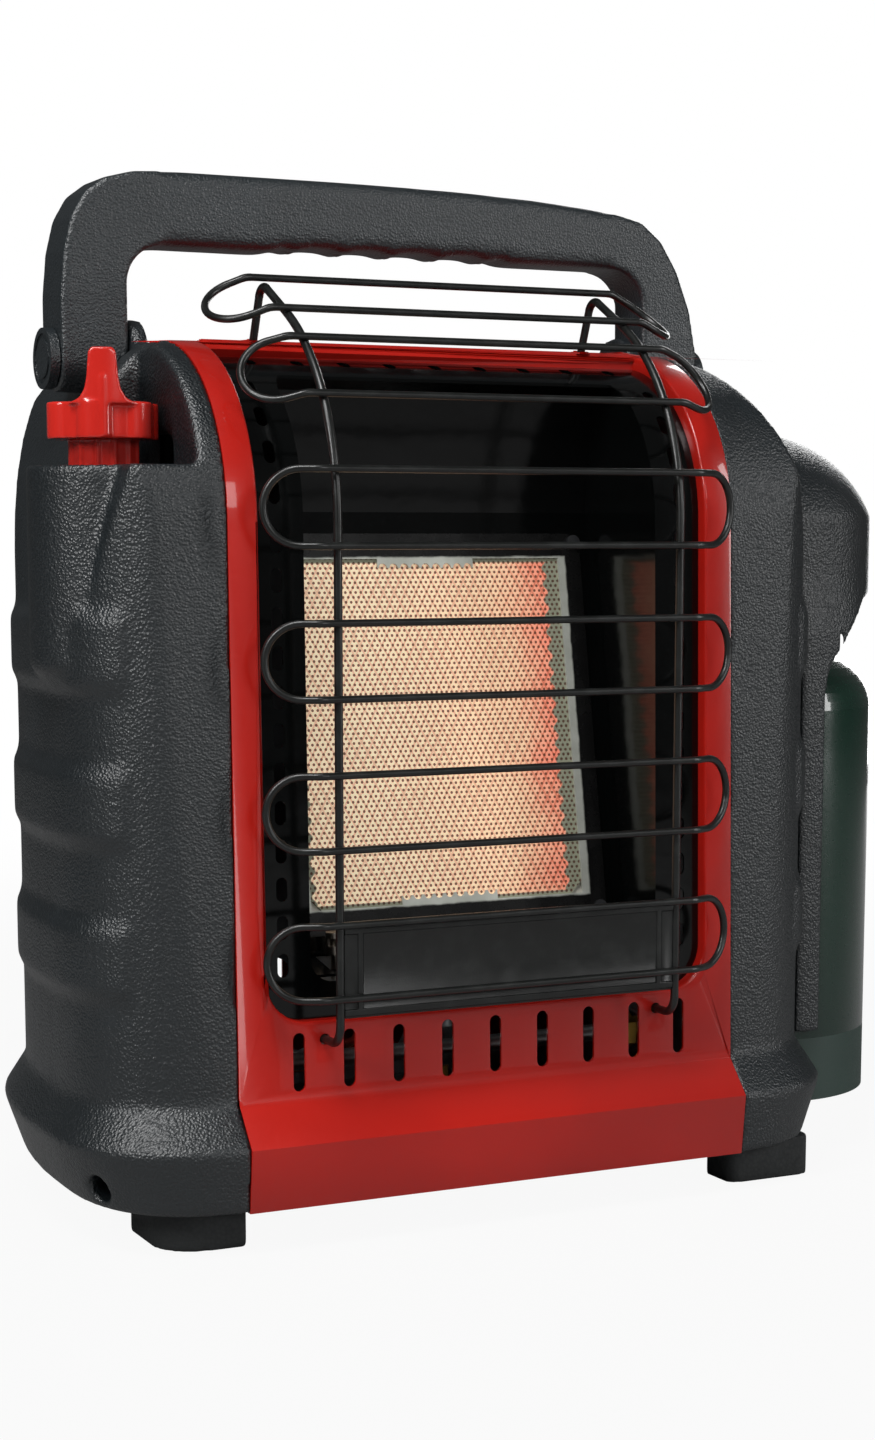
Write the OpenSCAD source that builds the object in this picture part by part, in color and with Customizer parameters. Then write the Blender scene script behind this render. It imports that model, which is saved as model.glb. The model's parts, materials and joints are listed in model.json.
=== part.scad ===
// Portable radiant heater for a screw-on gas cylinder: steel casing between two moulded
// side housings, ceramic tile burner behind a wire guard, folding handle, push-and-turn
// control knob, and a regulator that swivels out of its hood with the cylinder.
// Millimetres. X runs to the right seen from the front, Y to the back, Z up from the floor.

/* [Casing] */
// Width of the steel casing between the two side housings
case_w = 202; // [195:1:230]
// Height of the casing top above the floor
case_top = 320; // [310:1:360]
// Depth from the front face at the lower crease to the rear cover
case_depth = 165; // [160:1:200]
// Thickness of the casing sheet
sheet_t = 1.2; // [0.8:0.1:1.6]
// Radius of the front panel's bend over the top
front_r = 65; // [55:1:75]
// Radius of the rear cover's bend over the top
rear_r = 40; // [30:1:45]
// How far the front face leans back between the crease and the bend
front_lean = 5; // [0:0.5:8]
// Height of the casing's lower edge above the floor, and of the feet
foot_h = 16; // [12:1:20]

/* [Opening] */
// Width of the opening in the front panel
opening_w = 182; // [176:1:184]
// Height of the opening's lower edge above the floor
opening_z = 79; // [76:1:90]
// Depth of the flange turned in round the opening
flange_d = 5; // [3:0.5:7]
// Width of the reflector's mouth in the perforated surround
mouth_w = 144; // [138:1:148]
// Number of vent slots below the opening
vent_n = 9; // [5:1:9]
// Distance between vent slots
vent_pitch = 19.5; // [16:0.5:20]
// Width of a vent slot
vent_w = 4.7; // [3:0.1:6]

/* [Side housings] */
// How far a housing stands out from the casing at its widest
housing_a = 49; // [45:1:56]
// Wall thickness of the mouldings
housing_t = 2.6; // [2:0.1:3.5]
// How far the raised bands stand out
band_h = 3.5; // [1:0.5:5]
// Height of one raised band
band_w = 27; // [18:1:32]
// Distance between the bands, centre to centre
band_pitch = 53.5; // [48:0.5:56]

/* [Handle] */
// Overall height with the handle up
overall_h = 382; // [376:1:400]
// Inside width of the handle's arch
handle_gap_w = 216; // [216:1:250]
// Width of one handle arm at the pivot
arm_w = 25; // [20:1:28]
// Front to back depth of the handle
handle_d = 24; // [20:1:28]
// Radius of the pivot pins
pin_r = 4; // [3:0.25:5]
// Running clearance of the handle on its pins
pin_clear = 0.06; // [0.03:0.01:0.1]

/* [Knob] */
// Radius of the knob's disc
knob_r = 20; // [16:0.5:21]
// Radius of the moulded column under the knob
column_r = 27; // [25:0.5:30]
// Push travel of the knob
push_travel = 4; // [2:0.5:5]
// Radius of the valve stem
stem_r = 4; // [3:0.25:5]

/* [Guard] */
// Diameter of the upright wires
upright_d = 3; // [2.5:0.1:4]
// Diameter of the looped wires
loop_d = 2.6; // [2:0.1:3.5]
// Distance between the two uprights
upright_gap = 136; // [130:1:140]
// Overall width of a loop
loop_w = 186; // [180:1:192]
// Distance between loops along the upright
loop_pitch = 52.2; // [48:0.2:54]
// Height of a loop between its wire centres
loop_h = 26; // [20:0.5:28]

/* [Burner] */
// Width of the ceramic tile
tile_w = 120; // [100:1:124]
// Height of the ceramic tile
tile_h = 135; // [110:1:138]
// Thickness of the ceramic tile
tile_t = 12.7; // [10:0.1:14]
// Lean of the burner from the vertical, in degrees
tile_lean = 9.8; // [6:0.2:11]

/* [Gas cylinder and regulator] */
// Outside radius of the gas cylinder
cyl_r = 49.3; // [46:0.1:50]
// Height of the cylinder from its foot ring to the top of its shoulder
cyl_h = 183; // [150:1:192]
// Wall thickness of the cylinder
cyl_t = 1; // [0.8:0.1:1.5]
// Outside radius of the hood over the regulator
hood_r = 48.7; // [46:0.1:49]
// Outside radius of the regulator body
reg_r = 30; // [26:0.5:31]
// Pitch of the cylinder's neck thread
thread_pitch = 1.27; // [1:0.01:1.5]

/* [Hidden] */
$fn = 64;

eps = 0.01;
bend_step = 0.05;
bend_lap = 0.2;
case_x = case_w / 2;

// Casing profile, seen from the side
skirt_foot_y = -9.5;
skirt_y = -12;
skirt_z = 39;
crease_z = 53;
rear_skirt_y = case_depth + 13;
rear_foot_y = case_depth + 11;
front_cy = front_lean + front_r;
front_cz = case_top - front_r;
rear_cy = case_depth - rear_r;
rear_cz = case_top - rear_r;
split_y = 118;

// Surround, reflector and burner
surround_t = 1;
opening_x = opening_w / 2;
opening_top_y = 60;
mouth_x = mouth_w / 2;
mouth_z = 93;
mouth_top_z = 309;
perf_x = (opening_x + mouth_x) / 2;
perf_pitch = 13.5;
burner_y = 38;
burner_z = 111;
mixer_y = 25;
mixer_z = -45;
orifice_z = -68;
inlet_point = [0,
  burner_y + mixer_y * cos(tile_lean) + (orifice_z - 6) * sin(tile_lean),
  burner_z - mixer_y * sin(tile_lean) + (orifice_z - 6) * cos(tile_lean)];
screw_r = 2;
screw_head_r = 3.6;
screw_head_h = 1.6;

// Side housings, in plan and from the front
mid_y = 50;
wide_front = 2.5;
wide_rear = 2.2;
flare_a = 57;
flare_foot_a = 48;
shoulder_z = 170;
shoulder_bend = 1.85;
band_z = [for (i = [0:2]) 104 + i * band_pitch];
recess_x = -case_x - 9;
recess_y = 68;
recess_z = 275;
cup_floor_z = 265;
tether_r = 5;
tether_turn = 28;
tether_boss_r = 8.5;
tether_boss_l = 9;

// Knob
knob_x = -case_x - 30;
knob_y = 46;
knob_disc_z = 283.5;
knob_disc_h = 12.5;
knob_top_z = 314;
knob_foot_z = 272;
bar_turn = 18.6;

// Handle
pivot_y = 95;
pivot_z = 314;
gap_x = handle_gap_w / 2;
arm_x = gap_x + arm_w;
arm_end_r = handle_d / 2;
fold_clear = 1.5;
fold_max = 68;
lug_r = 15;
lug_x0 = case_x;
lug_x1 = gap_x - 0.5;
cap_r = 11;
cap_t = 3.5;
cap_gap = 0.3;
rib_n = 9;
rib_pitch = 20.2;
rib_r = 2.4;

// Guard
guard_y = -13;
guard_r = front_cy - guard_y;
guard_arc = 62;
guard_rise = 26;
guard_arc_len = guard_arc * PI / 180 * guard_r;
guard_x = upright_gap / 2;
hook_z = 73.5;
loop_first_z = 103.3;
loop_end = 18;
loop_bend = 25;
weld = 0.35;
loop_off = (upright_d + loop_d) / 2 - weld;
plate_z0 = 83;
plate_z1 = 116;
plate_t = 1.2;

// Gas cylinder, regulator and hood
bay_gap = 2.2;
bay_r = cyl_r + bay_gap;
cyl_x = case_x + housing_t + bay_r - 0.6;
cyl_y = 73.4;
cyl_z0 = 24.5;
cyl_ring_h = 25.5;
cyl_top = cyl_z0 + cyl_h;
neck_r = 12.7;
neck_h = 24;
neck_z = cyl_top - 2;
seal_z = neck_z + neck_h - 9;
seal_r = 9;
hood_x = cyl_x - 2.2;
hood_y = cyl_y - 1.2;
hood_z = 238.5;
hood_dome_r = 52.5;
skirt_r = 51.8;
hood_low_z = 213;
hood_back_y = 80;
hood_t = 2.5;
bay_top_z = 297;
bay_x = cyl_x - bay_r;
bay_back_x = case_x + 8.5;
swivel_room_y = 126;
fin_x0 = case_x + 44;
swivel_x = 112;
swivel_y = 112;
post_r = 6;
post_z0 = 219;
reg_z = neck_z + neck_h + 4;
arm_z = reg_z + 9;

// The whole object is centred over the origin and stands on Z = 0
x_min = min(knob_x - column_r, -case_x - flare_a);
x_max = cyl_x + cyl_r;
y_min = guard_y - loop_off - loop_d / 2;
y_max = rear_skirt_y;
centre_x = (x_min + x_max) / 2;
centre_y = (y_min + y_max) / 2;

// ---------- helpers ----------

module placed() {
  translate([-centre_x, -centre_y, 0]) children();
}

// Extrude a Y-Z outline along X, starting at x0
module along_x(x0, len) {
  translate([x0, 0, 0]) rotate([90, 0, 90]) linear_extrude(len) children();
}

// Extrude an X-Z outline along Y, starting at y0
module along_y(y0, len) {
  translate([0, y0 + len, 0]) rotate([90, 0, 0]) linear_extrude(len) children();
}

module both_sides() {
  children();
  mirror([1, 0, 0]) children();
}

// Rectangle with round corners, made of true arcs
module rounded(x0, y0, x1, y1, r) {
  translate([x0 + r, y0]) square([x1 - x0 - 2 * r, y1 - y0]);
  translate([x0, y0 + r]) square([x1 - x0, y1 - y0 - 2 * r]);
  for (x = [x0 + r, x1 - r], y = [y0 + r, y1 - r]) translate([x, y]) circle(r);
}

// Slot with round ends, upright, centred on the origin
module slot(w, h) {
  translate([-w / 2, -h / 2 + w / 2]) square([w, h - w]);
  for (s = [-1, 1]) translate([0, s * (h - w) / 2]) circle(w / 2);
}

// Straight bar between two points
module bar(a, b, r) {
  d = b - a;
  len = norm(d);
  translate(a) rotate([0, acos(d[2] / len), atan2(d[1], d[0])]) cylinder(h = len, r = r);
}

function unit(v) = v / norm(v);

// Bend of a tube at the corner b, from direction u to v, a hair thicker than the straight tube
module bend(b, u, v, big, r) {
  turn = acos(u * v);
  w = unit(v - (u * v) * u);
  n = cross(u, w);
  c = b - big * tan(turn / 2) * u + big * w;
  multmatrix([[-w[0], u[0], n[0], c[0]], [-w[1], u[1], n[1], c[1]], [-w[2], u[2], n[2], c[2]]])
    rotate_extrude(angle = turn) translate([big, 0]) circle(r + bend_step);
}

// Tube or wire through a list of points, bent round each corner with the radius big
module tube(pts, r, big) {
  last = len(pts) - 1;
  dirs = [for (i = [0:last - 1]) unit(pts[i + 1] - pts[i])];
  cut = [for (i = [0:last])
    i == 0 || i == last ? 0 : big * tan(acos(dirs[i - 1] * dirs[i]) / 2) - bend_lap];
  for (i = [0:last - 1])
    bar(pts[i] + cut[i] * dirs[i], pts[i + 1] - cut[i + 1] * dirs[i], r);
  for (i = [1:last - 1]) bend(pts[i], dirs[i - 1], dirs[i], big, r);
}

module hex(af, h) {
  cylinder(h = h, d = af / cos(30), $fn = 6);
}

// Pan-head screw whose head sits on the surface at z = 0 and whose shank goes down
module screw(shank) {
  translate([0, 0, -shank]) cylinder(h = shank + eps, r = screw_r);
  difference() {
    cylinder(h = screw_head_h, r = screw_head_r);
    for (a = [0, 90])
      rotate([0, 0, a]) translate([-2.2, -0.4, screw_head_h - 0.7]) cube([4.4, 0.8, 1]);
  }
}

// ---------- casing ----------

// Side outline of the casing, drawn in by d
module side_outline(d = 0, z0 = foot_h) {
  polygon([
    [skirt_foot_y + d, z0], [skirt_y + d, skirt_z], [d, crease_z], [front_lean + d, front_cz],
    [front_cy, front_cz], [front_cy, case_top - d], [rear_cy, case_top - d], [rear_cy, rear_cz],
    [case_depth - d, rear_cz], [case_depth - d, crease_z], [rear_skirt_y - d, skirt_z],
    [rear_foot_y - d, z0]]);
  translate([front_cy, front_cz]) circle(front_r - d);
  translate([rear_cy, rear_cz]) circle(rear_r - d);
}

// Bent sheet that follows the side outline between two depths
module case_sheet(y0, y1, d, t, x) {
  along_x(-x, 2 * x) intersection() {
    difference() {
      side_outline(d);
      side_outline(d + t, foot_h - 1);
    }
    translate([y0, 0]) square([y1 - y0, case_top + 1]);
  }
}

// Outline of the front opening, drawn in by d, as tall as the casing
module opening_outline(d) {
  rounded(-opening_x + d, opening_z + d, opening_x - d, case_top + 20, 17 - d);
}

module guard_holes() {
  for (x = [-guard_x, guard_x]) {
    translate([x, 10, hook_z]) rotate([90, 0, 0]) cylinder(h = 20, r = upright_d / 2 + 0.5);
    translate([x, opening_top_y + 3, case_top - 10]) cylinder(h = 20, r = upright_d / 2 + 0.5);
  }
}

module front_panel() {
  color("firebrick") {
    difference() {
      case_sheet(skirt_y - 1, split_y, 0, sheet_t, case_x);
      along_y(-30, 30 + opening_top_y) opening_outline(0);
      for (i = [0:vent_n - 1])
        translate([(i - (vent_n - 1) / 2) * vent_pitch, 0, 66])
          along_y(-10, 20) slot(vent_w, 21);
      guard_holes();
    }
    // flange turned in round the opening
    intersection() {
      along_y(-30, 30 + opening_top_y + sheet_t) difference() {
        opening_outline(0);
        opening_outline(sheet_t);
      }
      case_sheet(skirt_y, opening_top_y, 0, flange_d, opening_x);
    }
    intersection() {
      translate([-opening_x, opening_top_y, case_top - 20]) cube([opening_w, sheet_t, 30]);
      case_sheet(skirt_y, split_y, 0, flange_d, opening_x);
    }
  }
}

module rear_cover() {
  color("firebrick") difference() {
    case_sheet(split_y, rear_skirt_y + 1, 0, sheet_t, case_x);
    for (row = [0:2], i = [-4:4])
      translate([i * 19, 0, 245 - row * 34]) along_y(case_depth - 10, 20) slot(5, 26);
    for (i = [-4:4]) translate([i * 19, 0, 84]) along_y(case_depth - 10, 20) slot(5, 40);
    for (x = [-90, 90], z = [110, 225])
      translate([x, case_depth + 5, z]) rotate([90, 0, 0]) cylinder(h = 20, r = screw_r + 0.3);
  }
}

// Inner side plates that close the casing's two ends
module side_plate() {
  difference() {
    along_x(-case_x, 1) side_outline(sheet_t);
    for (p = [[20, 62, 6], [60, 40, 7], [42, 204, 9], [112, 205, 6]])
      translate([-case_x - 5, p[0], p[1]]) rotate([0, 90, 0]) cylinder(h = 10, r = p[2]);
  }
}

module left_side_plate() {
  color("silver") side_plate();
}

module right_side_plate() {
  color("silver") mirror([1, 0, 0]) side_plate();
}

// Shallow pan that closes the casing's underside
module base_pan() {
  color("silver") difference() {
    along_x(-case_x + 1, case_w - 2) intersection() {
      side_outline(sheet_t, foot_h);
      translate([-40, foot_h]) square([case_depth + 80, 9]);
    }
    along_x(-case_x + 2.2, case_w - 4.4) intersection() {
      side_outline(2 * sheet_t, foot_h - 1);
      translate([-40, foot_h + sheet_t]) square([case_depth + 80, 20]);
    }
    for (i = [-3:3], y = [75, 110]) translate([i * 22, y, foot_h - 1]) cylinder(h = 5, r = 5);
    base_screw_holes();
  }
}

// ---------- side housings (drawn for the left side) ----------

// Plan outline beside the casing: two superellipse quarters about mid_y
module plan(a, front, rear, over = 0) {
  polygon(concat(
    [for (t = [0:6:90])
      [-case_x - a * pow(sin(t), 2 / wide_front), mid_y - front * pow(cos(t), 2 / wide_front)]],
    [for (t = [6:6:90])
      [-case_x - a * pow(cos(t), 2 / wide_rear), mid_y + rear * pow(sin(t), 2 / wide_rear)]],
    [[-case_x + over, mid_y + rear], [-case_x + over, mid_y - front]]));
}

// Shoulder outline of a housing from the front, drawn in by d
module shoulder(d, over) {
  polygon(concat(
    [for (t = [0:7.5:90])
      [-case_x - (housing_a - d) * pow(cos(t), 2 / shoulder_bend),
       shoulder_z + (case_top - d - shoulder_z) * pow(sin(t), 2 / shoulder_bend)]],
    [[-case_x + over, case_top - d], [-case_x + over, crease_z],
     [-case_x - housing_a + d, crease_z]]));
}

// Outer body of a housing, drawn in by d and carried past the seam by over
module housing_body(d = 0, over = 0) {
  intersection() {
    translate([0, 0, crease_z - eps])
      linear_extrude(case_top - crease_z + 1) plan(housing_a - d, mid_y - d, case_depth - mid_y - d, over);
    along_x(-case_x - housing_a - 1, housing_a + 2 + over) side_outline(d, crease_z - 2);
    along_y(-20, case_depth + 40) shoulder(d, over);
  }
  hull() {
    translate([0, 0, crease_z]) linear_extrude(eps)
      plan(housing_a - d, mid_y - d, case_depth - mid_y - d, over);
    translate([0, 0, skirt_z]) linear_extrude(eps)
      plan(flare_a - d, mid_y - skirt_y - d, rear_skirt_y - mid_y - d, over);
    translate([0, 0, foot_h + d]) linear_extrude(eps)
      plan(flare_foot_a - d, mid_y - skirt_foot_y - d, rear_foot_y - mid_y - d, over);
  }
}

// Raised bands that wrap round the side, in two steps
module bands(x_from) {
  for (z = band_z, step = [0, 1])
    intersection() {
      translate([0, 0, z - band_w / 2 + 3 * step])
        linear_extrude(band_w - 6 * step)
          plan(housing_a + band_h / 2 * (1 + step), mid_y, case_depth - mid_y - 4);
      translate([-case_x - housing_a - 20, 10, 0]) cube([x_from, case_depth - 30, case_top]);
    }
}

// Path that the handle's arm sweeps as it folds back, grown by g
module fold_path(g) {
  r = arm_end_r + fold_clear + g;
  low = [pivot_y + r * cos(fold_max), pivot_z - r * sin(fold_max)];
  translate([pivot_y, pivot_z]) circle(r);
  polygon([[pivot_y - r, pivot_z], [pivot_y - r, pivot_z + 60],
    low + 110 * [sin(fold_max), cos(fold_max)] + [0, 60],
    low + 110 * [sin(fold_max), cos(fold_max)], low, [pivot_y, pivot_z]]);
}

module fold_cut(g) {
  along_x(-case_x - housing_a - 10, housing_a + 10 - (gap_x - case_x) + 0.5 + g) fold_path(g);
}

// Shell shared by both housings, with the bay for a folding handle arm and its lug
module housing_shell() {
  difference() {
    union() {
      difference() {
        union() {
          housing_body();
          children();
        }
        housing_body(housing_t, 1);
      }
      intersection() {
        fold_cut(housing_t);
        housing_body();
      }
    }
    fold_cut(0);
  }
}

module pivot_lug() {
  along_x(-lug_x1, lug_x1 - lug_x0) translate([pivot_y, pivot_z]) circle(lug_r);
  translate([-lug_x1, pivot_y - lug_r, pivot_z - 14]) cube([lug_x1 - lug_x0, 2 * lug_r, 14]);
}

module pin_hole() {
  translate([-lug_x1 - 5, pivot_y, pivot_z]) rotate([0, 90, 0]) cylinder(h = 20, r = pin_r);
}

module base_screw_holes() {
  base_screw_places() cylinder(h = 30, r = screw_r, center = true);
}

// Frame whose Z runs out of the tether hole in the left flare
module tether_axis() {
  translate([-case_x - 40, 21, 24]) rotate([90, 0, tether_turn - 90]) children();
}

module left_housing() {
  color([0.16, 0.18, 0.19]) difference() {
    union() {
      pivot_lug();
      intersection() {
        tether_axis() translate([0, 0, -tether_boss_l]) cylinder(h = 30, r = tether_boss_r);
        housing_body();
      }
      housing_shell() {
        bands(housing_a - 9);
        translate([knob_x, knob_y, 205]) cylinder(h = recess_z - 205, r = column_r);
        translate([knob_x, knob_y, 183]) cylinder(h = 22, r1 = 6, r2 = column_r);
        // end of the top band, where it runs onto the column
        translate([knob_x - 5.8, knob_y - 14.4, band_z[2] - band_w / 2]) cylinder(h = band_w, r = 14);
      }
      // cup, back wall and side wall of the knob recess
      intersection() {
        union() {
          housing_body();
          translate([knob_x, knob_y, 200]) cylinder(h = recess_z - 200, r = column_r);
        }
        union() {
          translate([-case_x - 70, 0, cup_floor_z - housing_t]) cube([70, recess_y, housing_t]);
          translate([-case_x - 70, recess_y, cup_floor_z - housing_t]) cube([70, housing_t, 60]);
          translate([recess_x, 0, cup_floor_z - housing_t]) cube([housing_t, recess_y, 60]);
        }
      }
    }
    translate([recess_x - 70, -5, recess_z]) cube([70, recess_y + 5, 60]);
    // hollow of the column and of the cup
    translate([knob_x, knob_y, cup_floor_z]) cylinder(h = 20, r = column_r - housing_t);
    translate([knob_x, knob_y, 208])
      cylinder(h = cup_floor_z - housing_t - 208, r = column_r - housing_t);
    translate([knob_x, knob_y, 200]) cylinder(h = 90, r = stem_r + 4);
    tether_axis() cylinder(h = 30, r = tether_r, center = true);
    pin_hole();
    base_screw_holes();
  }
}

// Bay in the right housing that the cylinder, the regulator and their swing need
module cylinder_bay() {
  translate([cyl_x, cyl_y, -1]) cylinder(h = bay_top_z + 1, r = bay_r);
  translate([bay_x, cyl_y, -1]) cube([90, swivel_room_y - cyl_y, bay_top_z + 1]);
  translate([bay_back_x, cyl_y, -1]) cube([90, 130, bay_top_z + 1]);
  translate([fin_x0 - 0.2, 0, crease_z - 1]) cube([40, cyl_y, hood_low_z + 20 - crease_z]);
}

module bay_walls() {
  h = bay_top_z + housing_t;
  intersection() {
    housing_body();
    mirror([1, 0, 0]) difference() {
      union() {
        translate([cyl_x, cyl_y, 0]) cylinder(h = h, r = bay_r + housing_t);
        translate([bay_x - housing_t, cyl_y, 0]) cube([90, swivel_room_y + housing_t - cyl_y, h]);
        translate([bay_back_x - housing_t, cyl_y, 0]) cube([90, 130, h]);
      }
      translate([0, 0, -eps]) cube([case_x + eps, 300, 400]);
    }
  }
}

module right_housing() {
  color([0.16, 0.18, 0.19]) difference() {
    mirror([1, 0, 0]) {
      housing_shell() bands(housing_a - 12);
      bay_walls();
      pivot_lug();
    }
    cylinder_bay();
    mirror([1, 0, 0]) {
      fold_cut(0);
      pin_hole();
    }
    base_screw_holes();
    translate([bay_x - 5, swivel_y, 205]) rotate([0, 90, 0]) cylinder(h = 10, r = 3.6);
  }
}

// Hood over the regulator, with the fin that runs down in front of the cylinder
module regulator_hood() {
  color([0.16, 0.18, 0.19]) difference() {
    union() {
      intersection() {
        translate([hood_x, hood_y, hood_low_z]) cylinder(h = 100, r = hood_r);
        translate([hood_x, hood_y, hood_z]) sphere(hood_dome_r);
      }
      // skirt that runs down in front of the cylinder and narrows to a fin
      intersection() {
        along_y(0, hood_y) polygon([[fin_x0, crease_z], [fin_x0 + 12, crease_z], [fin_x0 + 12, 186],
          [fin_x0 + 12.5, 194], [fin_x0 + 15.4, 200.8], [fin_x0 + 21, 207.4], [fin_x0 + 27, 215],
          [fin_x0 + 36.5, 224.7], [fin_x0 + 50, 236], [fin_x0, 236]]);
        translate([hood_x, hood_y, 0]) {
          cylinder(h = hood_low_z, r = skirt_r);
          translate([0, 0, hood_low_z - eps]) cylinder(h = 23 + eps, r1 = skirt_r, r2 = hood_r - 0.5);
        }
      }
      // pad that sits against the bay's wall
      intersection() {
        translate([cyl_x, cyl_y, 225]) cylinder(h = 50, r = bay_r);
        translate([bay_x - 1, 55, 225]) cube([4.5, 24, 50]);
      }
    }
    translate([hood_x, hood_y, hood_low_z - 1]) intersection() {
      cylinder(h = 101, r = hood_r - hood_t);
      translate([0, 0, hood_z - hood_low_z + 1]) sphere(hood_dome_r - hood_t);
    }
    translate([cyl_x, cyl_y, 0]) cylinder(h = hood_low_z, r = bay_r);
    translate([0, hood_back_y, 0]) cube([300, 200, 400]);
    along_y(-50, 200) polygon([[fin_x0 + 70, 200], [fin_x0 + 70, 231], [fin_x0 + 36.5, 224.7],
      [fin_x0 + 27, 215], [fin_x0 + 21, 207.4], [fin_x0 + 21, 200]]);
  }
}

// Four foot blocks under the housings' corners
module feet() {
  color([0.12, 0.13, 0.13]) difference() {
    union() {
      // front left, rounded like the flare above it
      linear_extrude(foot_h) hull() {
        translate([-case_x - 10, 22]) circle(16);
        translate([-case_x + 2, 8]) circle(3);
        translate([-case_x + 2, 42]) circle(3);
        translate([-case_x - 23, 42]) circle(3);
      }
      translate([case_x + 4, 5, 0]) foot_block(38, 20);
      translate([-case_x - 17, 128, 0]) foot_block(38, 34);
      translate([case_x - 32, 134, 0]) foot_block(38, 34);
    }
    base_screw_holes();
  }
}

module foot_block(w, d) {
  linear_extrude(foot_h) rounded(0, 0, w, d, 5);
}

// ---------- surround, reflector and burner ----------

// Perforated frame behind the opening, following the casing's bend
module mouth_surround() {
  color([0.07, 0.07, 0.07]) difference() {
    intersection() {
      case_sheet(0, opening_top_y + 6, flange_d, surround_t, opening_x + 4);
      along_y(-20, 120) rounded(-opening_x - 4, opening_z - 3, opening_x + 4, case_top + 20, 17);
    }
    along_y(-20, 60) rounded(-mouth_x + surround_t, mouth_z, mouth_x - surround_t, mouth_top_z, 9);
    both_sides() {
      for (z = [100:perf_pitch:front_cz])
        translate([-perf_x, 0, z]) along_y(-10, 40) slot(4.2, 8.5);
      for (a = [10:perf_pitch * 1.02:64])
        translate([-perf_x, front_cy, front_cz]) rotate([-a, 0, 0]) along_y(-80, 40) slot(4.2, 8.5);
    }
    for (i = [-4:4])
      translate([i * 18.5, front_cy, front_cz]) rotate([-72, 0, 0]) along_y(-80, 40) slot(4.4, 6.5);
  }
}

// Side outline of the reflector box, grown by d
module reflector_outline(d) {
  floor_z = 99 - d;
  crease = burner_z + 148;
  back = d / cos(tile_lean);
  polygon([[0, mouth_z - d], [30, floor_z], [burner_plane(floor_z) + back, floor_z],
    [burner_plane(crease) + back, crease], [58 + d, 303], [46, mouth_top_z + d],
    [0, mouth_top_z + d]]);
}

// Depth of the leaning burner plane at the height z
function burner_plane(z) = burner_y + (z - burner_z) * tan(tile_lean);

module on_burner() {
  translate([0, burner_y, burner_z]) rotate([-tile_lean, 0, 0]) children();
}

module reflector() {
  color([0.05, 0.05, 0.05]) difference() {
    intersection() {
      difference() {
        along_x(-mouth_x, mouth_w) reflector_outline(surround_t);
        along_x(-mouth_x + surround_t, mouth_w - 2 * surround_t) {
          reflector_outline(0);
          translate([-50, mouth_z]) square([60, mouth_top_z - mouth_z]);
        }
      }
      along_x(-mouth_x, mouth_w) side_outline(flange_d + surround_t);
    }
    on_burner() translate([-tile_w / 2 - 0.3, -20, -0.3]) cube([tile_w + 0.6, 40, tile_h + 0.6]);
    translate([-60, 14, mouth_z - 5]) cube([26, 16, 20]);
    on_burner() retainer_holes();
  }
}

module retainer_holes() {
  for (x = [-tile_w / 2 - 4, tile_w / 2 + 4], z = [-3.5, tile_h + 3.5])
    translate([x, 10, z]) rotate([90, 0, 0]) cylinder(h = 20, r = 1.6);
}

module ceramic_tile() {
  color([0.93, 0.78, 0.6]) on_burner() along_y(0, tile_t)
    polygon([[-tile_w / 2, 10], [-tile_w / 2 + 10, 0], [tile_w / 2 - 10, 0], [tile_w / 2, 10],
      [tile_w / 2, tile_h], [-tile_w / 2, tile_h]]);
}

// Pressed frame that holds the tile's edge, with a scalloped strip above and below
module tile_retainer() {
  n = 9;
  color([0.7, 0.72, 0.68]) on_burner() difference() {
    along_y(-0.8, 0.8) rounded(-tile_w / 2 - 7, -7, tile_w / 2 + 7, tile_h + 7, 6);
    along_y(-5, 10) {
      translate([-tile_w / 2 + 3, 6]) square([tile_w - 6, tile_h - 12]);
      translate([tile_w / 6, 2.5]) square([tile_w / 3 - 3, tile_h - 5]);
      translate([-tile_w / 2 + 3, 2.5]) square([tile_w / 3 - 3, tile_h - 5]);
      for (i = [0:n - 1], z = [6, tile_h - 6])
        translate([(i - (n - 1) / 2) * tile_w / 3 / n, z]) circle(1.7);
    }
    retainer_holes();
  }
}

module tile_gasket() {
  color([0.85, 0.85, 0.82]) on_burner() along_y(surround_t, tile_t) difference() {
    square_ring(tile_w / 2 + 2, tile_h, 2);
    polygon([[-tile_w / 2, 10], [-tile_w / 2 + 10, 0], [tile_w / 2 - 10, 0], [tile_w / 2, 10],
      [tile_w / 2, tile_h], [-tile_w / 2, tile_h]]);
  }
}

// Rectangle of half width x that runs g below and above the tile's height
module square_ring(x, h, g) {
  translate([-x, -g]) square([2 * x, h + 2 * g]);
}

module burner_plenum() {
  wall = 0.8;
  color("silver") on_burner() difference() {
    translate([-tile_w / 2 - 2 - wall, surround_t, -2 - wall])
      cube([tile_w + 4 + 2 * wall, 36, tile_h + 4 + 2 * wall]);
    translate([-tile_w / 2 - 2, 0, -2]) cube([tile_w + 4, 36 + surround_t - wall, tile_h + 4]);
    translate([0, mixer_y, -10]) cylinder(h = 12, r = 10.2);
  }
}

module mixer_tube() {
  color("silver") on_burner() translate([0, mixer_y, mixer_z]) difference() {
    union() {
      cylinder(h = 50, r = 10.2);
      translate([0, 0, -7]) cylinder(h = 7 + eps, r1 = 14, r2 = 10.2);
    }
    translate([0, 0, -5]) cylinder(h = 60, r = 9.4);
    translate([0, 0, -7 - eps]) cylinder(h = 6, r1 = 13.2, r2 = 9.4);
  }
}

module orifice() {
  color("goldenrod") on_burner() translate([0, mixer_y, orifice_z]) difference() {
    union() {
      hex(11, 8);
      cylinder(h = 13, r = 3.5);
      translate([0, 0, -6]) cylinder(h = 7, r = 4.5);
    }
    translate([0, 0, -7]) cylinder(h = 19.4, r = 2);
    cylinder(h = 15, r = 0.4);
  }
}

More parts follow.
